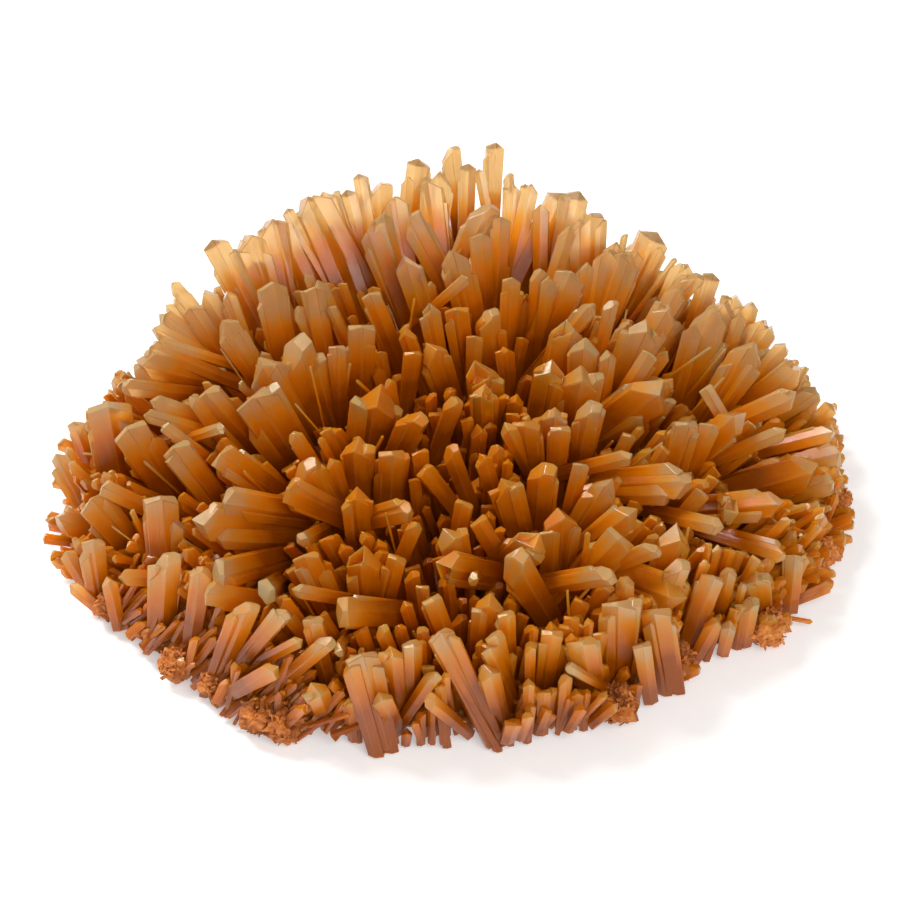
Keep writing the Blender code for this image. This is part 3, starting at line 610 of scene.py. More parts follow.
FRONT = [
    (356, 489, 358, 516, 9.5, FLAT),
    (412, 510, 368, 520, 9.0, POINT),
    (302, 541, 338, 521, 5.0, SLANT),
    (417, 522, 400, 562, 5.0, POINT),
    (448, 530, 456, 560, 10.5, FLAT, 50),
    (476, 518, 501, 560, 7.0, ROOF),
    (465, 500, 457, 546, 6.0, ROOF),
    (440, 565, 472, 572, 11.0, HOLLOW, 55),
    (540, 538, 518, 558, 13.0, HOLLOW, 55),
    (562, 507, 560, 562, 13.0, FLAT),
    (588, 532, 585, 576, 1.8, POINT),
    (625, 534, 598, 566, 12.0, ROOF),
    (680, 527, 669, 568, 12.0, HOLLOW),
    (722, 528, 688, 520, 6.0, FLAT),
    (657, 548, 610, 568, 6.0, SLANT),
    (512, 560, 537, 602, 12.5, SLANT, 50),
    (473, 580, 506, 570, 4.5, POINT),
    (490, 595, 488, 627, 10.5, FLAT),
    (506, 611, 508, 640, 6.5, ROOF),
    (612, 575, 560, 586, 7.5, SLANT),
    (625, 577, 626, 602, 6.0, POINT),
    (619, 598, 622, 690, 12.5, ROOF),
    (683, 600, 628, 580, 13.0, FLAT),
    (680, 562, 667, 602, 9.0, SLANT),
    (655, 606, 672, 690, 11.0, ROOF),
    (641, 642, 651, 702, 6.0, ROOF),
    (714, 573, 683, 657, 9.0, ROOF),
    (730, 568, 722, 627, 5.5, POINT),
    (717, 618, 692, 663, 6.5, POINT),
    (730, 622, 727, 657, 5.0, FLAT),
    (750, 600, 748, 647, 7.5, SLANT),
    (772, 616, 768, 642, 6.5, POINT),
    (755, 572, 762, 622, 9.5, FLAT),
    (795, 553, 790, 612, 7.5, ROOF),
    (787, 556, 730, 538, 8.0, POINT),
    (398, 555, 386, 604, 7.0, ROOF),
    (363, 549, 366, 602, 13.0, HOLLOW),
    (303, 552, 320, 590, 10.0, ROOF),
    (338, 612, 373, 616, 11.0, ROOF, 45),
    (293, 590, 347, 603, 4.5, FLAT),
    (266, 592, 297, 568, 9.0, ROOF),
    (338, 652, 351, 632, 4.5, FLAT),
    (360, 650, 386, 746, 12.5, ROOF),
    (391, 648, 396, 702, 8.5, FLAT),
    (412, 641, 411, 727, 7.0, ROOF),
    (380, 694, 399, 732, 7.5, FLAT),
    (437, 629, 495, 742, 10.0, ROOF),
    (430, 596, 443, 632, 7.5, ROOF),
    (494, 633, 506, 682, 6.0, ROOF),
    (488, 647, 521, 724, 6.5, ROOF),
    (487, 666, 500, 717, 8.0, FLAT),
    (553, 629, 543, 717, 8.0, ROOF),
    (580, 638, 593, 692, 11.0, ROOF),
    (567, 666, 623, 699, 3.5, POINT),
    (435, 674, 415, 706, 5.0, SLANT),
    (428, 700, 470, 735, 5.0, SLANT),
    (249, 604, 212, 692, 9.0, SLANT),
    (203, 592, 242, 600, 9.0, ROOF),
    (203, 566, 188, 642, 8.5, POINT),
    (285, 611, 236, 668, 6.5, SLANT),
    (312, 616, 319, 652, 7.5, ROOF),
    (302, 640, 250, 670, 4.0, FLAT),
    (330, 640, 285, 680, 5.5, SLANT),
    (278, 668, 214, 702, 6.0, FLAT),
    (215, 575, 256, 566, 10.5, ROOF),
    (315, 687, 328, 723, 9.0, FLAT),
]

# More of the skyline, which the solid leaves to this scene.
SKYLINE = [
    (247, 229, 263, 285, 12.0, FLAT),
    (240, 250, 258, 292, 8.0, ROOF),
    (268, 214, 278, 262, 12.0, FLAT),
    (302, 193, 322, 240, 11.0, FLAT),
    (322, 187, 338, 232, 10.0, FLAT),
    (396, 192, 404, 240, 9.0, FLAT),
    (176, 289, 200, 322, 8.0, FLAT),
    (156, 314, 190, 338, 8.0, FLAT),
    (618, 238, 604, 290, 9.0, FLAT),
    (690, 262, 676, 300, 7.0, FLAT),
    (738, 291, 722, 335, 10.0, FLAT),
    (767, 316, 748, 350, 9.0, FLAT),
]


def read_rows(rows):
    """The crystals that a table's rows tell of."""
    return [Crystal(row[:2], row[2:4], *row[4:]) for row in rows]


def smooth(low, high, value):
    """0 below low, 1 above high, and an S-curve between."""
    share = min(1.0, max(0.0, (value - low) / (high - low)))
    return share * share * (3 - 2 * share)


def outward(bearing):
    """The level direction at a bearing."""
    return Vector((math.cos(bearing), math.sin(bearing), 0))


def scatter(dice, amount):
    """A random direction of about this length."""
    return Vector([dice.gauss(0, amount) for _ in range(3)])


def plate_radius(bearing):
    """The plate's outline: an oval with lobes and broken-back corners."""
    radius = 1 / math.hypot(2 * math.cos(bearing) / PLATE_WIDTH, 2 * math.sin(bearing) / PLATE_DEPTH)
    for middle, spread, further in PLATE_LOBES:
        away = (math.degrees(bearing) - middle + 180) % 360 - 180
        radius += further * math.exp(-((away / spread) ** 2))
    return radius


def share_of_plate(x, y):
    """How far a point is from the middle of the plate: 1 at its edge."""
    return math.hypot(x, y) / plate_radius(math.atan2(y, x))


def tip_surface(x, y):
    """Height of the surface that the tips reach."""
    sides = TIP_DROP_AT_SIDES * min(1.0, abs(x) / (PLATE_WIDTH / 2)) ** SIDE_DROP_POWER
    front = TIP_DROP_AT_FRONT * smooth(FRONT_DROPS_FROM, FRONT_DROPS_BY, -y)
    rim = TIP_DROP_AT_RIM * smooth(RIM_FROM, RIM_TO, share_of_plate(x, y))
    from_hollow = (Vector((x, y)) - HOLLOW_CENTRE).length
    hollow = HOLLOW_DEPTH * math.exp(-((from_hollow / HOLLOW_RADIUS) ** 2))
    return TIP_HEIGHT - sides - front - rim - hollow


def plate_top(x, y):
    """Height of the mass of fused roots."""
    share = min(1.0, share_of_plate(x, y))
    backness = smooth(BACK_RISES_FROM, BACK_RISES_BY, y)
    rise = PLATE_RISE_FRONT + (PLATE_RISE_BACK - PLATE_RISE_FRONT) * backness
    cover = CRYSTAL_COVER_FRONT + (CRYSTAL_COVER_BACK - CRYSTAL_COVER_FRONT) * backness
    mound = PLATE_EDGE_TOP + rise * (1 - share**2) ** PLATE_CROWN_POWER
    return max(PLATE_EDGE_TOP, min(mound, tip_surface(x, y) - cover))


def root_surface(x, y):
    """Height that the crystals part from one another at: deeper than the solid shows, but for the rim."""
    share = share_of_plate(x, y)
    deeper = GAPS_DEEPER * (1 - smooth(GAPS_SHALLOWER_FROM, GAPS_AS_SOLID_FROM, share))
    return max(PLATE_EDGE_TOP, plate_top(x, y) - deeper)


def spray(x, y):
    """The way that a crystal with its tip at this place points: away from a point below the plate."""
    away = Vector((x - HOLLOW_CENTRE.x, y - HOLLOW_CENTRE.y, SPRAY_DEPTH + tip_surface(x, y)))
    away.y *= 1 - FRONT_UPRIGHT * smooth(FRONT_STANDS_FROM, FRONT_STANDS_BY, -y)
    return away.normalized()


def view_axes():
    """The front view's right, up and towards-the-viewer directions."""
    towards = Vector((0, -math.cos(VIEW_ELEVATION), math.sin(VIEW_ELEVATION)))
    right = Vector((1, 0, 0))
    return right, towards.cross(right), towards


RIGHT_OF_VIEW, UP_IN_VIEW, TO_VIEWER = view_axes()
EYE = VIEW_TARGET + VIEW_DISTANCE * TO_VIEWER


def sight_line(pixel):
    """The direction from the eye through a pixel of the front view."""
    half = VIEW_PIXELS / 2
    across = (pixel[0] - half) / VIEW_PIXELS * VIEW_WIDTH
    up = (half - pixel[1]) / VIEW_PIXELS * VIEW_WIDTH
    return (RIGHT_OF_VIEW * across + UP_IN_VIEW * up - TO_VIEWER * VIEW_DISTANCE).normalized()


def view_cell(place):
    """The small square of the front view that a place lies in, and how near to the viewer it is."""
    offset = place - EYE
    distance = -offset.dot(TO_VIEWER)
    scale = VIEW_DISTANCE / VIEW_WIDTH * VIEW_PIXELS / distance
    across = VIEW_PIXELS / 2 + offset.dot(RIGHT_OF_VIEW) * scale
    down = VIEW_PIXELS / 2 - offset.dot(UP_IN_VIEW) * scale
    return (int(across / CELL_PIXELS), int(down / CELL_PIXELS)), -distance


def tip_place(pixel):
    """Where the sight line through a tip's pixel meets the surface of the tips, or passes nearest to it."""
    line = sight_line(pixel)
    least = None
    height = TIP_HEIGHT + TIP_SPREAD
    while height > PLATE_EDGE_TOP:
        place = EYE + line * ((height - EYE.z) / line.z)
        if place.y > 0 and share_of_plate(place.x, place.y) > FARTHEST_TIP:
            break
        gap = height - tip_surface(place.x, place.y)
        if least is None or gap < least:
            least = gap
            nearest = place
        if gap <= 0:
            break
        height -= STEP_ALONG / 2
    return nearest


def length_to_root(tip, axis):
    """How far a crystal runs back from its tip until it is buried in the plate: None if it misses it."""
    length = 0.0
    while length < LONGEST_CRYSTAL:
        length += STEP_ALONG
        place = tip - axis * length
        if place.z < PLATE_EDGE_LOW:
            return None
        in_front = smooth(FRONT_STANDS_FROM, FRONT_STANDS_BY, -place.y)
        if share_of_plate(place.x, place.y) > ROOT_WITHIN + (ROOT_WITHIN_IN_FRONT - ROOT_WITHIN) * in_front:
            continue
        if place.z < root_surface(place.x, place.y) - ROOT_BURIED:
            return length
    return None


def with_deeper_root(tip, axis, length):
    """The crystal's length with its root run further down, as far as that keeps the root in the plate."""
    for further, lowest, farthest in ROOTS_FURTHER:
        root = tip - axis * (length + further)
        if root.z > lowest and share_of_plate(root.x, root.y) < farthest:
            return length + further
    return length


def lean_on_plate(tip):
    """The way from the nearest part of the plate's shoulder to a tip that hangs over its edge."""
    shoulder = SHOULDER_SHARE + SHOULDER_WAVE * math.sin(tip.x / SHOULDER_WAVE_SIZE)
    inward = min(1.0, shoulder / share_of_plate(tip.x, tip.y))
    anchor = Vector((tip.x * inward, tip.y * inward, 0))
    anchor.z = root_surface(anchor.x, anchor.y) - 2 * ROOT_BURIED
    return (tip - anchor).normalized()


def crystal_axis(crystal, tip):
    """Across the view a crystal lies as its tip and foot do. Its tilt to the viewer is the spray's.

    A crystal that would miss the plate with that tilt is tilted further, just enough to stand on it.
    """
    across = crystal.tip[0] - crystal.foot[0]
    up = crystal.foot[1] - crystal.tip[1]
    in_view = (RIGHT_OF_VIEW * across + UP_IN_VIEW * up).normalized()
    tilt = crystal.tilt
    if tilt is None:
        tilt = math.degrees(math.asin(spray(tip.x, tip.y).dot(TO_VIEWER)))
    for further in FURTHER_TILTS:
        turned = math.radians(tilt + further)
        axis = in_view * math.cos(turned) + TO_VIEWER * math.sin(turned)
        if length_to_root(tip, axis) is not None:
            return axis
    return lean_on_plate(tip)


def cut_end(shape, length, width, cuts, dice):
    """Cuts the sloping planes of a crystal's end, each a little off its usual slope and bearing."""
    for slope, bearing, drop in cuts:
        slope = math.radians(slope + dice.uniform(-CUT_SCATTER, CUT_SCATTER))
        bearing = math.radians(bearing + dice.uniform(-2 * CUT_SCATTER, 2 * CUT_SCATTER))
        normal = outward(bearing) * math.sin(slope)
        normal.z = math.cos(slope)
        place = Vector((0, 0, length - drop * width))
        every = shape.verts[:] + shape.edges[:] + shape.faces[:]
        cut = bmesh.ops.bisect_plane(shape, geom=every, plane_co=place, plane_no=normal, clear_outer=True)
        rim = [piece for piece in cut["geom_cut"] if isinstance(piece, bmesh.types.BMEdge)]
        if rim:
            bmesh.ops.contextual_create(shape, geom=rim)


def sink_crater(shape, width):
    """Sinks the middle of the highest end face, as on a crystal that grew faster at its edges."""
    top = max(shape.faces, key=lambda face: face.calc_center_median().z)
    inner = bmesh.ops.inset_region(shape, faces=[top], thickness=CRATER_WALL * width)
    if inner["faces"]:
        bmesh.ops.translate(shape, verts=top.verts, vec=(0, 0, -CRATER_DEPTH * width))


def soften_edges(shape, length, width, painted_edge_mark):
    """A narrow bevel on every edge but those at the root, marked as edge for a painted edge line that stands
    in for light caught there.
    """
    lowest = NOT_BEVELLED_BELOW * length
    edges = [edge for edge in shape.edges if min(corner.co.z for corner in edge.verts) > lowest]
    for edge in shape.edges:
        if abs(edge.verts[0].co.z - edge.verts[1].co.z) > LONG_EDGE * length:
            edges.append(edge)
    bevel = bmesh.ops.bevel(
        shape, geom=list(set(edges)), offset=BEVEL * width, segments=1, affect="EDGES", clamp_overlap=True
    )
    for face in bevel["faces"]:
        face[painted_edge_mark] = 1.0


def crystal_mesh(name, width, length, end, flatness, tone, dice):
    """A prism along +Z, narrower at its root, with sloping cuts at its end and softened edges."""
    root = ROOT_SHARE * width / 2
    shape = bmesh.new()
    painted_edge_mark = shape.faces.layers.float.new("edge")
    bmesh.ops.create_cone(
        shape, cap_ends=True, segments=CRYSTAL_SIDES, radius1=root, radius2=width / 2, depth=length
    )
    for corner in shape.verts:
        corner.co.z += length / 2
        corner.co.y *= flatness
        at_flat_side = abs(corner.co.y) > FLAT_SIDE_FROM * width
        if at_flat_side:
            corner.co.x *= FLAT_SIDE_WIDENING
    cut_end(shape, length, width, end, dice)
    if end is HOLLOW and width > LEAST_CRATERED:
        sink_crater(shape, width)
    if width > LEAST_BEVELLED:
        soften_edges(shape, length, width, painted_edge_mark)
    bmesh.ops.recalc_face_normals(shape, faces=shape.faces[:])
    mesh = bpy.data.meshes.new(name)
    shape.to_mesh(mesh)
    shape.free()
    mark_growth(mesh, length, tone, dice)
    return mesh


def mark_growth(mesh, length, tone, dice):
    """Notes the crystal's own tone on its faces, and its own coordinates in millimetres on its corners."""
    for face in mesh.attributes.new("tone", "FLOAT", "FACE").data:
        face.value = tone
    grain = mesh.attributes.new("grain", "FLOAT_VECTOR", "CORNER")
    shift = Vector((dice.uniform(0, GRAIN_SHIFT), dice.uniform(0, GRAIN_SHIFT), 0))
    for corner, loop in zip(grain.data, mesh.loops):
        place = mesh.vertices[loop.vertex_index].co
        corner.vector = Vector((place.x, place.y, length - place.z)) / MM + shift


def turned_along(axis, twist):
    """A rotation that takes +Z to the axis and the prism's wide side to the viewer, but for the twist."""
    side = TO_VIEWER.cross(axis)
    if side.length < LEAST_SIDE:
        side = RIGHT_OF_VIEW.cross(axis)
    side.normalize()
    return Matrix((side, axis.cross(side), axis)).transposed() @ Matrix.Rotation(twist, 3, "Z")


def move_inside(mesh):
    """Moves a crystal that passes the solid's box back inside it."""
    least, most = CAD_BOX
    shift = Vector((0, 0, 0))
    for side in range(3):
        low = min(corner.co[side] for corner in mesh.vertices)
        high = max(corner.co[side] for corner in mesh.vertices)
        if high > most[side]:
            shift[side] = most[side] - high
        elif low < least[side] and side < 2:
            shift[side] = least[side] - low
    mesh.transform(Matrix.Translation(shift))


def place_crystal(name, tip, axis, width, length, end, tones, dice, collection):
    """Makes one crystal with its tip at tip and puts it with the others."""
    mesh = crystal_mesh(name, width, length, end, dice.uniform(*FLATNESS), dice.uniform(*tones), dice)
    turn = turned_along(axis, math.radians(dice.uniform(-MOST_TWIST, MOST_TWIST)))
    mesh.transform(Matrix.Translation(tip - axis * length) @ turn.to_4x4())
    move_inside(mesh)
    for corner in mesh.vertices:
        corner.co.z = max(corner.co.z, FLOOR_CLEARANCE)
    collection.objects.link(bpy.data.objects.new(name, mesh))


def standing_foot(crystal):
    """Where a crystal stands on the plate's front edge, if the view shows its foot there: else None."""
    line = sight_line(crystal.foot)
    place = EYE + line * ((STANDING_HEIGHT - EYE.z) / line.z)
    share = share_of_plate(place.x, place.y)
    if place.y > 0 or share < STANDING_FROM:
        return None
    inward = min(1.0, STANDING_TO / share)
    return Vector((place.x * inward, place.y * inward, STANDING_HEIGHT))


def length_in_view(crystal, axis):
    """How long a crystal has to be to show from its tip to its foot."""
    pixels = math.hypot(crystal.tip[0] - crystal.foot[0], crystal.tip[1] - crystal.foot[1])
    foreshortening = math.sqrt(max(0.0, 1 - axis.dot(TO_VIEWER) ** 2))
    return pixels / VIEW_PIXELS * VIEW_WIDTH / max(LEAST_FORESHORTENING, foreshortening)


def mark_shown(shown, tip, axis, width, length):
    """Notes the squares of the front view in which a crystal shows, and how near to the viewer it is."""
    side = TO_VIEWER.cross(axis).normalized()
    beside = max(1, int(SHOWN_HALF_WIDTH * width / STEP_ALONG))
    for step in range(int(length / STEP_ALONG)):
        for across in range(-beside, beside + 1):
            place = tip - axis * step * STEP_ALONG + side * across * STEP_ALONG
            cell, nearness = view_cell(place)
            shown[cell] = max(nearness, shown.get(cell, nearness))


def reach_without_hiding(shown, root, axis, width, reach):
    """How far a crystal may grow before it stands in front of one that the front view shows."""
    side = TO_VIEWER.cross(axis).normalized() * HIDING_HALF_WIDTH * width
    length = 0.0
    while length < reach:
        for place in (root - side, root, root + side):
            cell, nearness = view_cell(place + axis * length)
            if cell in shown and nearness > shown[cell] - STEP_ALONG:
                return length
        length += STEP_ALONG
    return length


def add_companions(name, tip, axis, width, length, dice, collection):
    """Narrower crystals grown along a large one's sides, a step lower."""
    for number, sign in enumerate((1, -1)[: 1 + (width > LEAST_WITH_TWO)]):
        turn = turned_along(axis, dice.uniform(-MOST_COMPANION_TURN, MOST_COMPANION_TURN))
        side = turn @ Vector((sign, 0, 0))
        beside = tip + side * width * dice.uniform(*COMPANION_OUT)
        beside = beside - axis * width * dice.uniform(*COMPANION_DOWN)
        lean = (axis + side * dice.uniform(0.0, MOST_COMPANION_LEAN)).normalized()
        thin = width * dice.uniform(*COMPANION_WIDTH)
        end = dice.choice((ROOF, FLAT, SLANT))
        thin_name = f"{name}_beside_{number}"
        place_crystal(thin_name, beside, lean, thin, length, end, LARGE_TONES, dice, collection)


def add_view_crystals(dice, collection):
    """The crystals that the front view shows one by one. Returns the squares in which they show."""
    shown = {}
    crystals = read_rows(BACK + SKYLINE + LEFT + RIGHT + CENTRE + FRONT)
    for number, crystal in enumerate(crystals):
        tip = tip_place(crystal.tip)
        width = crystal.width * MM
        foot = standing_foot(crystal)
        if foot:
            axis = (tip - foot).normalized()
            length = (tip - foot).length
            seen = length
        else:
            axis = crystal_axis(crystal, tip)
            rooted = length_to_root(tip, axis) or LENGTH_WITHOUT_ROOT
            length = with_deeper_root(tip, axis, rooted)
            seen = min(rooted - ROOT_BURIED, SEEN_SHARE * length_in_view(crystal, axis))
        name = f"crystal_{number}"
        if width > LEAST_WITH_ONE:
            add_companions(name, tip, axis, width, length, dice, collection)
            width *= BESIDE_COMPANIONS
        place_crystal(name, tip, axis, width, length, crystal.end, LARGE_TONES, dice, collection)
        mark_shown(shown, tip, axis, width, seen)
    return shown


def root_place(x, y):
    """Where a crystal is rooted below a place on the plate: less deep towards the rim."""
    near_rim = smooth(GAPS_SHALLOWER_FROM, GAPS_AS_SOLID_FROM, share_of_plate(x, y))
    buried = FILLER_BURIED + (ROOT_BURIED - FILLER_BURIED) * near_rim
    return Vector((x, y, root_surface(x, y) - buried))


def among_blades(x, y):
    """Whether a place is on the left part of the front rim, where slender blades grow instead."""
    degrees = math.degrees(math.atan2(y, x)) % 360
    return BLADE_BEARINGS[0] < degrees < BLADE_BEARINGS[1] and share_of_plate(x, y) > BLADE_FEET[0]


def growth_spots(dice):
    """Places all over the mass of roots, about one filler's spacing apart."""
    rings = int(1 / (FILLER_SPACING / (PLATE_WIDTH / 2)))
    for ring in range(rings):
        share = (ring + 0.5) / rings
        around = max(3, int(2 * math.pi * share * rings))
        for number in range(around):
            bearing = 2 * math.pi * (number + dice.uniform(-SPOT_SHIFT, SPOT_SHIFT)) / around
            farther = dice.uniform(-SPOT_SHIFT, SPOT_SHIFT) / rings
            radius = plate_radius(bearing) * min(FARTHEST_FILLER, share + farther)
            yield Vector((radius * math.cos(bearing), radius * math.sin(bearing)))


def reach_to_tips(root, axis):
    """How far it is from a root to the surface of the tips."""
    reach = 0.0
    while reach < LONGEST_CRYSTAL:
        reach += STEP_ALONG
        place = root + axis * reach
        if place.z > tip_surface(place.x, place.y):
            break
    return reach


def add_fillers(dice, collection, shown):
    """Crystals between the ones that the view shows one by one, all over the plate."""
    for number, spot in enumerate(growth_spots(dice)):
        if among_blades(spot.x, spot.y):
            continue
        root = root_place(spot.x, spot.y)
        axis = spray(spot.x * SPREAD_OF_SPRAY, spot.y * SPREAD_OF_SPRAY)
        axis = (axis + scatter(dice, FILLER_SWAY)).normalized()
        width = dice.triangular(*FILLER_WIDTH)
        reach = reach_to_tips(root, axis) * dice.uniform(*FILLER_REACH)
        reach = reach_without_hiding(shown, root, axis, width, reach)
        if reach < LEAST_FILLER:
            continue
        end = dice.choice((ROOF, ROOF, FLAT, FLAT, SLANT, POINT))
        tip = root + axis * reach
        length = with_deeper_root(tip, axis, reach)
        place_crystal(f"filler_{number}", tip, axis, width, length, end, BETWEEN_TONES, dice, collection)


def add_sprouts(dice, collection, shown):
    """Small crystals close together over the mass of roots, which show in the gaps."""
    for number in range(SPROUTS):
        bearing = dice.uniform(0, 2 * math.pi)
        radius = plate_radius(bearing) * math.sqrt(dice.uniform(0, SPROUT_AREA))
        x = radius * math.cos(bearing)
        y = radius * math.sin(bearing)
        if among_blades(x, y):
            continue
        root = root_place(x, y)
        axis = spray(x * SPREAD_OF_SPRAY, y * SPREAD_OF_SPRAY)
        axis = (axis + scatter(dice, SPROUT_SWAY)).normalized()
        width = dice.uniform(*SPROUT_WIDTH)
        reach = reach_without_hiding(shown, root, axis, width, dice.uniform(*SPROUT_LENGTH))
        if reach < LEAST_SPROUT:
            continue
        tip = root + axis * reach
        length = with_deeper_root(tip, axis, reach)
        end = dice.choice((ROOF, FLAT, SLANT))
        place_crystal(f"sprout_{number}", tip, axis, width, length, end, SMALL_TONES, dice, collection)


def is_left_out(row, foot):
    """Whether the rim has no crystal of this row here: low on the left of the back, blades in front."""
    degrees = math.degrees(math.atan2(foot.y, foot.x)) % 360
    return among_blades(foot.x, foot.y) or (row > 1 and LOW_RIM[0] < degrees < LOW_RIM[1])


def kept_inside_rim(foot, axis, reach):
    """The axis, raised until the tip stays within the plate's outline."""
    for _ in range(RIM_RAISINGS):
        tip = foot + axis * reach
        if share_of_plate(tip.x, tip.y) < RIM_REACH:
            break
        axis = (axis + Vector((0, 0, RAISED_A_STEP))).normalized()
    return axis


def add_rim_crystals(dice, collection, shown):
    """Crystals that stand out of the plate's edge in rows: upright in front, outward elsewhere."""
    around = int(math.pi * (PLATE_WIDTH + PLATE_DEPTH) / 2 / RIM_SPACING)
    for row, height in enumerate(RIM_ROWS):
        for number in range(around):
            bearing = 2 * math.pi * (number + dice.uniform(-RIM_SHIFT, RIM_SHIFT)) / around
            in_front = smooth(*FRONT_OF_RIM, -math.sin(bearing) * PLATE_DEPTH / 2)
            share = RIM_FOOT - RIM_ROW_STEP * row - dice.uniform(0, RIM_FOOT_SPREAD) * (1 - in_front)
            foot = outward(bearing) * plate_radius(bearing) * share
            if is_left_out(row, foot):
                continue
            higher = dice.uniform(-RIM_HEIGHT_SPREAD, RIM_HEIGHT_SPREAD) * MM
            foot.z = height * (1 - FRONT_RIM_LOWER * in_front) + higher
            more_in_front = FRONT_RIM_UPRIGHT + FRONT_RIM_UPRIGHT_A_ROW * row
            upright = RIM_UPRIGHT + RIM_UPRIGHT_A_ROW * row + more_in_front * in_front
            axis = outward(bearing) + Vector((0, 0, upright)) + scatter(dice, RIM_SWAY)
            reach = dice.uniform(*RIM_LENGTH) * (1 + FRONT_RIM_LONGER * in_front)
            axis = kept_inside_rim(foot, axis.normalized(), reach)
            width = dice.triangular(*RIM_CRYSTAL_WIDTH)
            reach = reach_without_hiding(shown, foot, axis, width, reach)
            if reach < LEAST_RIM:
                continue
            tip = foot + axis * reach
            length = with_deeper_root(tip, axis, reach)
            end = dice.choice((ROOF, FLAT, SLANT, POINT))
            place_crystal(f"rim_{row}_{number}", tip, axis, width, length, end, SMALL_TONES, dice, collection)


def add_blades(dice, collection):
    """Slender rusty crystals on the left part of the front rim, leaning to the right."""
    for number in range(BLADES):
        bearing = math.radians(dice.uniform(*BLADE_BEARINGS))
        foot = outward(bearing) * plate_radius(bearing) * dice.uniform(*BLADE_FEET)
        foot.z = max(BLADE_LOWEST, plate_top(foot.x, foot.y) - dice.uniform(*BLADE_BURIED))
        axis = (Vector(BLADE_LEAN) + scatter(dice, BLADE_SWAY)).normalized()
        width = dice.uniform(*BLADE_WIDTH)
        length = dice.uniform(*BLADE_LENGTH)
        tip = foot + axis * length
        end = dice.choice((SLANT, POINT, FLAT))
        place_crystal(f"blade_{number}", tip, axis, width, length, end, BLADE_TONES, dice, collection)


def add_needles(dice, collection):
    """Hair-thin crystals that stick out at odd angles between the others."""
    for number in range(NEEDLES):
        bearing = dice.uniform(0, 2 * math.pi)
        radius = plate_radius(bearing) * math.sqrt(dice.uniform(0, NEEDLE_AREA))
        x = radius * math.cos(bearing) * NEEDLES_WITHIN
        y = radius * math.sin(bearing) * NEEDLES_WITHIN
        root = root_place(x, y)
        axis = (spray(x, y) + scatter(dice, NEEDLE_SWAY)).normalized()
        reach = reach_to_tips(root, axis) * dice.uniform(*NEEDLE_REACH)
        width = dice.uniform(*NEEDLE_WIDTH)
        tip = root + axis * reach
        place_crystal(f"needle_{number}", tip, axis, width, reach, POINT, LARGE_TONES, dice, collection)


def crust_radius(bearing, inside):
    """The outline of the plate, further inside in front, where crystals stand before it."""
    in_front = smooth(*CRUST_FRONT, -math.sin(bearing))
    return plate_radius(bearing) - inside - CRUST_FURTHER_INSIDE * in_front


def plate_point(corner, inside, rough):
    """Moves a point of a unit ball to its place on the plate: a low crusted mound with a flat foot."""
    bearing = math.atan2(corner.y, corner.x)
    radius = crust_radius(bearing, inside)
    share = min(1.0, math.hypot(corner.x, corner.y))
    if corner.z >= 0:
        place = outward(bearing) * radius * share
        place.z = root_surface(place.x, place.y) - inside
    else:
        share *= PLATE_UNDERSIDE_SHARE
        place = outward(bearing) * radius * share
        place.z = PLATE_EDGE_LOW * smooth(RESTING_SHARE, 1.0, share) + inside / 2
    stands_on_floor = place.z < CRUST_FLAT_BELOW
    if rough and not stands_on_floor:
        pimples = CRUST_PIMPLES * noise.noise(place / CRUST_PIMPLE_SIZE)
        lumps = noise.noise(place / CRUST_LUMP_SIZE) + pimples - CRUST_SUNK
        place += (outward(bearing) + Vector((0, 0, CRUST_ROUGH_UPWARDS))) * lumps * rough
    place.z = max(place.z, LOWEST_CRUST)
    return place


def plate_mesh(name, sides, rings, inside, rough):
    """A closed mesh of the plate, inside its surface by the given distance."""
    shape = bmesh.new()
    bmesh.ops.create_uvsphere(shape, u_segments=sides, v_segments=rings, radius=1)
    for corner in shape.verts:
        corner.co = plate_point(corner.co, inside, rough)
    mesh = bpy.data.meshes.new(name)
    shape.to_mesh(mesh)
    shape.free()
    return mesh


def unite(base, collection):
    """Makes the base and everything in the collection one closed mesh."""
    joined = base.modifiers.new("crystals", "BOOLEAN")
    joined.operation = "UNION"
    joined.operand_type = "COLLECTION"
    joined.collection = collection
    joined.solver = "MANIFOLD"
    depsgraph = bpy.context.evaluated_depsgraph_get()
    mesh = bpy.data.meshes.new_from_object(base.evaluated_get(depsgraph))
    base.modifiers.clear()
    base.data = mesh
    for extra in list(collection.objects):
        bpy.data.objects.remove(extra)
    bpy.data.collections.remove(collection)


def mark_depth_and_painted_shade(mesh):
    """Notes how deep the colour goes at each point, as millimetres below the surface of the tips, which
    stands for the gypsum's amber and for painted shade between the crystals.

    It also goes deeper towards the front, with a stain at and low on the rim, and with painted shade in the
    hollow and in a low stretch in front.
    """
    depth = mesh.attributes.new("depth", "FLOAT", "POINT")
    for point, corner in zip(depth.data, mesh.vertices):
        x, y, z = corner.co
        at_rim = smooth(*STAINED_RIM, share_of_plate(x, y))
        low = 1 - smooth(*STAINED_HEIGHT, z)
        front = smooth(*DARKER_TOWARDS_FRONT_SPAN, -y)
        stain_and_painted_shade = DARKER_IN_FRONT * front + at_rim * (STAIN_AT_RIM + STAIN_LOW_ON_RIM * low)
        # Painted shade in the low hollow and a low stretch in front.
        for middle, radius, deeper in PAINTED_SHADE_PLACES:
            away = (Vector((x, y)) - Vector(middle)).length
            stain_and_painted_shade += deeper * math.exp(-((away / radius) ** 2))
        point.value = (tip_surface(x, y) - z + stain_and_painted_shade) / MM


def gather(name):
    """A collection for the crystals of one piece."""
    collection = bpy.data.collections.new(name)
    bpy.context.scene.collection.children.link(collection)
    return collection


def grow_together(name, inside, gathered):
    """One piece: a mass of roots and everything gathered, as one closed mesh."""
    piece = bpy.data.objects.new(name, plate_mesh(name, *ROOTS_MESH, inside, 0))
    bpy.context.scene.collection.objects.link(piece)
    unite(piece, gathered)
    mark_depth_and_painted_shade(piece.data)
    return piece


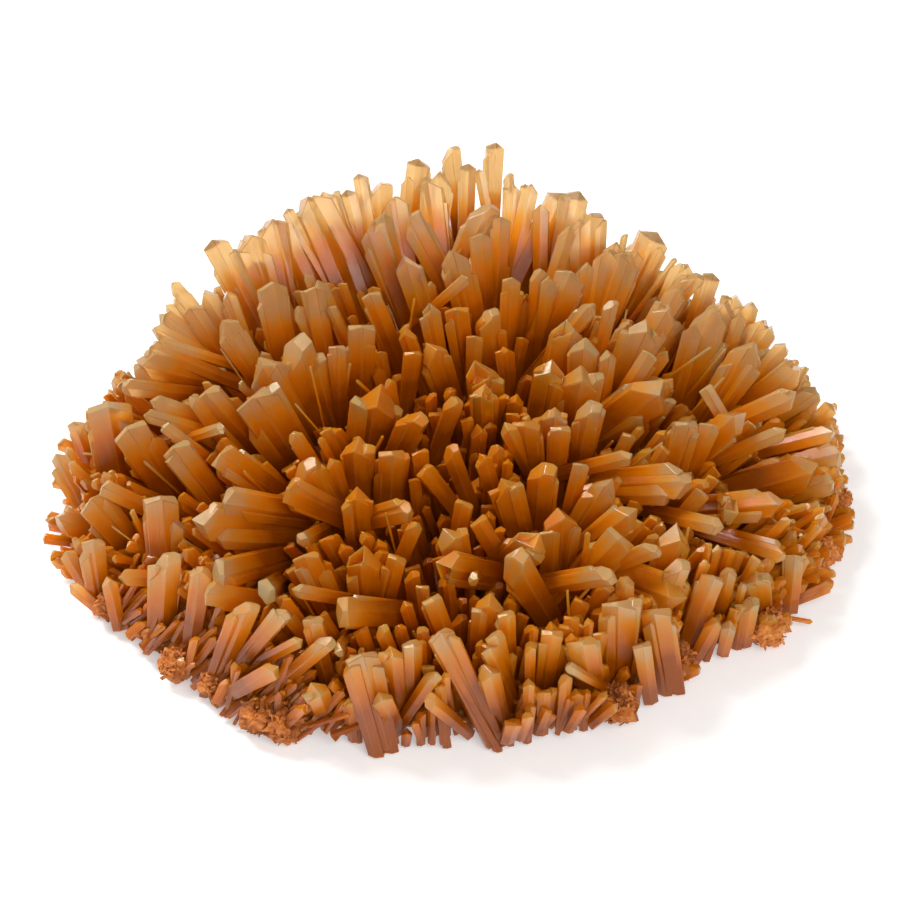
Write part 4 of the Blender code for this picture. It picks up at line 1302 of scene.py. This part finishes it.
def make_crystals():
    """The crystals in three pieces: those that the view shows one by one, those between, and the small."""
    dice = random.Random(CRYSTAL_SEED)
    one_by_one = gather("one_by_one")
    shown = add_view_crystals(dice, one_by_one)
    between = gather("between")
    add_fillers(dice, between, shown)
    small = gather("small")
    add_rim_crystals(dice, small, shown)
    add_blades(dice, small)
    add_sprouts(dice, small, shown)
    add_needles(dice, small)
    names = ("large_crystals", "crystals_between", "small_crystals")
    for number, gathered in enumerate((one_by_one, between, small)):
        inside = ROOTS_INSIDE + number * FURTHER_INSIDE_A_PIECE
        yield grow_together(names[number], inside, gathered)


def kept_in_box(place):
    """The place, moved into the solid's box if it lies outside."""
    least, most = CAD_BOX
    place.x = min(most.x, max(least.x, place.x))
    place.y = min(most.y, max(least.y, place.y))
    place.z = max(place.z, LOWEST_GRAIN)
    return place


def grain_corners(place, size, dice):
    """The corners of one splinter of the crust, from those of a cube."""
    turn = Matrix.Rotation(dice.uniform(0, FULL_TURN), 3, scatter(dice, 1).normalized())
    along = dice.uniform(*SPLINTER_ALONG)
    thin = dice.uniform(*SPLINTER_THIN)
    for corner in CUBE_CORNERS:
        part = Vector(corner) * dice.uniform(*SPLINTER_CORNER) * size / 2
        yield kept_in_box(place + turn @ Vector((part.x * thin, part.y, part.z * along)))


def crust_place(dice):
    """A place for a splinter on the crust: most of them lie near its edge."""
    bearing = dice.uniform(0, 2 * math.pi)
    share = 1 - min(1.0, abs(dice.gauss(0, SPLINTER_SPREAD)))
    place = outward(bearing) * share
    place.z = math.sqrt(1 - share**2)
    return plate_point(place, CRUST_INSIDE, CRUST_ROUGH)


def lump_middle(lump):
    """The middle of a lump of crust that the front view shows on the rim."""
    line = sight_line((lump[0], lump[1]))
    return EYE + line * ((LUMP_HEIGHT - EYE.z) / line.z)


def add_lump(shape, lump):
    """A rough ball of crust."""
    middle = lump_middle(lump)
    radius = lump[2] * MM
    ball = bmesh.ops.create_icosphere(shape, subdivisions=4, radius=radius)
    for corner in ball["verts"]:
        bulges = LUMP_BULGES * noise.noise(corner.co / LUMP_BULGE_SIZE + middle * LUMP_UNLIKENESS)
        pimples = LUMP_PIMPLES * noise.noise(corner.co / LUMP_PIMPLE_SIZE)
        flattened = Vector((corner.co.x, corner.co.y, LUMP_FLATNESS * corner.co.z))
        corner.co = kept_in_box(middle + flattened * (1 + bulges + pimples))


def lump_place(lump, dice):
    """A place for a splinter on one of the lumps."""
    away = scatter(dice, 1).normalized() * lump[2] * MM
    return lump_middle(lump) + away * dice.uniform(*LUMP_SPLINTERS_OUT)


def make_splinters(dice):
    """All the crust's splinters in one mesh."""
    corners = []
    faces = []
    for number in range(SPLINTERS):
        size = dice.uniform(*SPLINTER_SIZE)
        first = len(corners)
        if number < SPLINTERS_A_LUMP * len(LUMPS):
            place = lump_place(LUMPS[number % len(LUMPS)], dice)
        else:
            place = crust_place(dice)
        corners.extend(grain_corners(place, size, dice))
        faces.extend([first + corner for corner in face] for face in CUBE_FACES)
    mesh = bpy.data.meshes.new("crust_splinters")
    mesh.from_pydata(corners, [], faces)
    return mesh


def make_crust():
    """The granular crust that shows round the plate's edge and between the feet of the crystals."""
    dice = random.Random(CRUST_SEED)
    shape = bmesh.new()
    shape.from_mesh(plate_mesh("crust_plate", *CRUST_MESH, CRUST_INSIDE, CRUST_ROUGH))
    for lump in LUMPS:
        add_lump(shape, lump)
    shape.from_mesh(make_splinters(dice))
    bmesh.ops.recalc_face_normals(shape, faces=shape.faces[:])
    mesh = bpy.data.meshes.new("crust")
    shape.to_mesh(mesh)
    shape.free()
    mark_depth_and_painted_shade(mesh)
    crust = bpy.data.objects.new("crust", mesh)
    bpy.context.scene.collection.objects.link(crust)
    return crust


def new_material(name):
    """An empty node material with its Principled shader."""
    material = bpy.data.materials.new(name)
    material.use_nodes = True
    return material, material.node_tree.nodes, material.node_tree.links


def math_node(nodes, links, operation, first, second, clamp=False):
    """A Math node on two inputs, each a socket or a number."""
    node = nodes.new("ShaderNodeMath")
    node.operation = operation
    node.use_clamp = clamp
    for socket, value in zip(node.inputs, (first, second)):
        if isinstance(value, (int, float)):
            socket.default_value = value
        else:
            links.new(value, socket)
    return node.outputs[0]


def attribute(nodes, name, output):
    """A mesh attribute as a shader input."""
    node = nodes.new("ShaderNodeAttribute")
    node.attribute_name = name
    return node.outputs[output]


def noise_node(nodes, links, vector, scale, detail, roughness):
    """A noise texture on the given coordinates."""
    node = nodes.new("ShaderNodeTexNoise")
    node.inputs["Scale"].default_value = scale
    node.inputs["Detail"].default_value = detail
    node.inputs["Roughness"].default_value = roughness
    links.new(vector, node.inputs["Vector"])
    return node.outputs["Fac"]


def add_bump(nodes, links, height, strength, distance):
    """Bump on the shader from a noise."""
    bump = nodes.new("ShaderNodeBump")
    bump.inputs["Strength"].default_value = strength
    bump.inputs["Distance"].default_value = distance
    links.new(height, bump.inputs["Height"])
    links.new(bump.outputs["Normal"], nodes["Principled BSDF"].inputs["Normal"])


def ramp_node(nodes, links, factor, stops):
    """A colour ramp with the given places and colours."""
    node = nodes.new("ShaderNodeValToRGB")
    ramp = node.color_ramp
    while len(ramp.elements) < len(stops):
        ramp.elements.new(0.5)
    for element, (place, colour) in zip(ramp.elements, stops):
        element.position = place
        element.color = (*colour, 1)
    links.new(factor, node.inputs["Fac"])
    return node.outputs["Color"]


def sharpened(nodes, links, noise_value, contrast):
    """A noise with more contrast about its middle."""
    out = math_node(nodes, links, "MULTIPLY_ADD", noise_value, contrast, True)
    out.node.inputs[2].default_value = 0.5 - 0.5 * contrast
    return out


def weighted_sum(nodes, links, start, terms):
    """A number plus each of the sockets times its weight."""
    total = start
    for socket, weight in terms:
        added = math_node(nodes, links, "MULTIPLY_ADD", socket, weight)
        if isinstance(total, (int, float)):
            added.node.inputs[2].default_value = total
        else:
            links.new(total, added.node.inputs[2])
        total = added
    return total


def clamped(nodes, links, value):
    """The value, kept from 0 to 1."""
    return math_node(nodes, links, "ADD", value, 0.0, True)


def along_crystal(nodes, links):
    """Coordinates in which a noise is drawn out along each crystal, and the distance below its tip."""
    grain = attribute(nodes, "grain", "Vector")
    below_tip = nodes.new("ShaderNodeSeparateXYZ")
    links.new(grain, below_tip.inputs["Vector"])
    stretch = nodes.new("ShaderNodeVectorMath")
    stretch.operation = "MULTIPLY"
    stretch.inputs[1].default_value = (1, 1, LENGTHWISE)
    links.new(grain, stretch.inputs[0])
    return stretch.outputs[0], below_tip.outputs["Z"]


def crystal_material():
    """Honey-coloured gypsum: pale clear tips, orange roots, milky streaks and fine lines along it.

    It has painted shade deep between the crystals and painted edge lines on the bevels.
    """
    material, nodes, links = new_material("honey_gypsum")
    surface = nodes["Principled BSDF"]
    lengthwise, below_tip = along_crystal(nodes, links)
    lines = noise_node(nodes, links, lengthwise, *LINES_NOISE)
    streaks = noise_node(nodes, links, lengthwise, *STREAKS_NOISE)
    streaks = sharpened(nodes, links, streaks, STREAKS_CONTRAST)
    place = nodes.new("ShaderNodeNewGeometry").outputs["Position"]
    clouds = noise_node(nodes, links, place, *CLOUDS_NOISE)
    clouds = sharpened(nodes, links, clouds, CLOUDS_CONTRAST)

    # The depth carries the gypsum's amber deep below the tips together with painted shade between the
    # crystals.
    depth = attribute(nodes, "depth", "Fac")
    tone = attribute(nodes, "tone", "Fac")
    weights = (
        (below_tip, 1 / AMBER_BELOW_TIP),
        (depth, 1 / AMBER_AND_PAINTED_SHADE_AT_DEPTH),
        (tone, TONE_WEIGHT),
        (lines, LINES_WEIGHT),
        (streaks, STREAKS_WEIGHT),
        (clouds, CLOUDS_WEIGHT),
    )
    shade = clamped(nodes, links, weighted_sum(nodes, links, PALENESS, weights))
    colour = ramp_node(nodes, links, shade, CRYSTAL_STOPS)
    # Painted edge lines: the bevels turn towards an amber that stands in for light caught at the edges, less
    # where the colour is deep.
    painted_edge_mix = nodes.new("ShaderNodeMix")
    painted_edge_mix.data_type = "RGBA"
    painted_edge_mix.inputs["B"].default_value = (*PAINTED_EDGE_COLOUR, 1)
    edge = attribute(nodes, "edge", "Fac")
    painted_edge_share = weighted_sum(nodes, links, 0.0, ((edge, PAINTED_EDGE_WEIGHT), (shade, PAINTED_EDGE_LESS_WHERE_DEEP)))
    links.new(clamped(nodes, links, painted_edge_share), painted_edge_mix.inputs["Factor"])
    links.new(colour, painted_edge_mix.inputs["A"])
    links.new(painted_edge_mix.outputs["Result"], surface.inputs["Base Color"])

    milky = (
        (clouds, LESS_CLEAR_IN_CLOUDS),
        (streaks, LESS_CLEAR_IN_STREAKS),
        (shade, LESS_CLEAR_WHERE_DEEP),
    )
    clearness = clamped(nodes, links, weighted_sum(nodes, links, CLEARNESS, milky))
    links.new(clearness, surface.inputs["Transmission Weight"])
    surface.inputs["Subsurface Weight"].default_value = SCATTERED_SHARE
    surface.inputs["Subsurface Radius"].default_value = SCATTERED_BY_COLOUR
    surface.inputs["Subsurface Scale"].default_value = SCATTERED_WITHIN
    roughness = weighted_sum(nodes, links, SMOOTHEST, ((clouds, ROUGHER_IN_CLOUDS),))
    links.new(roughness, surface.inputs["Roughness"])
    add_bump(nodes, links, lines, *LINES_BUMP)
    surface.inputs["IOR"].default_value = GYPSUM_IOR

    inside = nodes.new("ShaderNodeVolumeAbsorption")
    inside.inputs["Color"].default_value = (*LEFT_AFTER_PASSING, 1)
    inside.inputs["Density"].default_value = ABSORPTION_DENSITY
    links.new(inside.outputs["Volume"], nodes["Material Output"].inputs["Volume"])
    return material


def crust_material():
    """Rusty orange-brown crust of fine grains, with painted shade deep between the crystals."""
    material, nodes, links = new_material("rusty_crust")
    surface = nodes["Principled BSDF"]
    place = nodes.new("ShaderNodeNewGeometry").outputs["Position"]
    patches = noise_node(nodes, links, place, *CRUST_PATCHES_NOISE)
    depth = attribute(nodes, "depth", "Fac")
    lighter = weighted_sum(nodes, links, CRUST_LIGHTNESS, ((patches, 1), (depth, CRUST_PAINTED_SHADE_BY_DEPTH)))
    lighter = clamped(nodes, links, lighter)
    links.new(ramp_node(nodes, links, lighter, CRUST_STOPS), surface.inputs["Base Color"])
    grains = noise_node(nodes, links, place, *CRUST_GRAINS_NOISE)
    roughness = weighted_sum(nodes, links, CRUST_ROUGHNESS, ((grains, CRUST_ROUGHER_IN_GRAINS),))
    links.new(roughness, surface.inputs["Roughness"])
    add_bump(nodes, links, grains, *CRUST_BUMP)
    return material


def floor_material():
    """A plain matt pale material that glows a little."""
    material, nodes, links = new_material("pale_floor")
    surface = nodes["Principled BSDF"]
    surface.inputs["Base Color"].default_value = (*FLOOR_COLOUR, 1)
    surface.inputs["Roughness"].default_value = FLOOR_ROUGHNESS
    surface.inputs["Specular IOR Level"].default_value = FLOOR_SHEEN
    surface.inputs["Emission Color"].default_value = (1, 1, 1, 1)
    surface.inputs["Emission Strength"].default_value = FLOOR_GLOW
    return material


def add_piece(piece, material):
    piece.data.materials.clear()
    piece.data.materials.append(material)
    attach(piece, "root")
    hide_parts(NODE)


def add_floor():
    """A pale floor that runs far past the view."""
    shape = bmesh.new()
    bmesh.ops.create_grid(shape, x_segments=1, y_segments=1, size=FLOOR_HALF_WIDTH)
    mesh = bpy.data.meshes.new("floor")
    shape.to_mesh(mesh)
    shape.free()
    floor = bpy.data.objects.new("floor", mesh)
    floor.data.materials.append(floor_material())
    bpy.context.scene.collection.objects.link(floor)


def add_softbox(name, place, size, power):
    """A square light that faces the cluster."""
    light = bpy.data.lights.new(name, "AREA")
    light.size = size
    light.energy = power
    lamp = bpy.data.objects.new(name, light)
    lamp.location = place
    aim = LIGHTS_AIM - Vector(place)
    lamp.rotation_euler = aim.to_track_quat("-Z", "Y").to_euler()
    bpy.context.scene.collection.objects.link(lamp)


def light_scene():
    """A dim even surround, a soft key light from the upper left and behind, and a soft light in front."""
    world = bpy.data.worlds.new("surround")
    world.use_nodes = True
    background = world.node_tree.nodes["Background"]
    background.inputs["Color"].default_value = (*SURROUND_COLOUR, 1)
    background.inputs["Strength"].default_value = SURROUND_STRENGTH
    bpy.context.scene.world = world
    add_softbox("key", KEY_PLACE, KEY_SIZE, KEY_POWER)
    add_softbox("front_fill", FILL_PLACE, FILL_SIZE, FILL_POWER)
    bpy.context.scene.view_settings.view_transform = "Standard"
    bpy.context.scene.cycles.use_light_tree = False


def add_camera():
    """The front view's camera."""
    lens = bpy.data.cameras.new("front_view")
    lens.sensor_width = 36
    lens.lens = lens.sensor_width * VIEW_DISTANCE / VIEW_WIDTH
    camera = bpy.data.objects.new("front_view", lens)
    turn = Matrix((RIGHT_OF_VIEW, UP_IN_VIEW, TO_VIEWER)).transposed().to_4x4()
    camera.matrix_world = Matrix.Translation(EYE) @ turn
    bpy.context.scene.collection.objects.link(camera)
    bpy.context.scene.camera = camera


add_camera()
light_scene()
add_floor()
honey_gypsum = crystal_material()
for crystals in make_crystals():
    add_piece(crystals, honey_gypsum)
add_piece(make_crust(), crust_material())
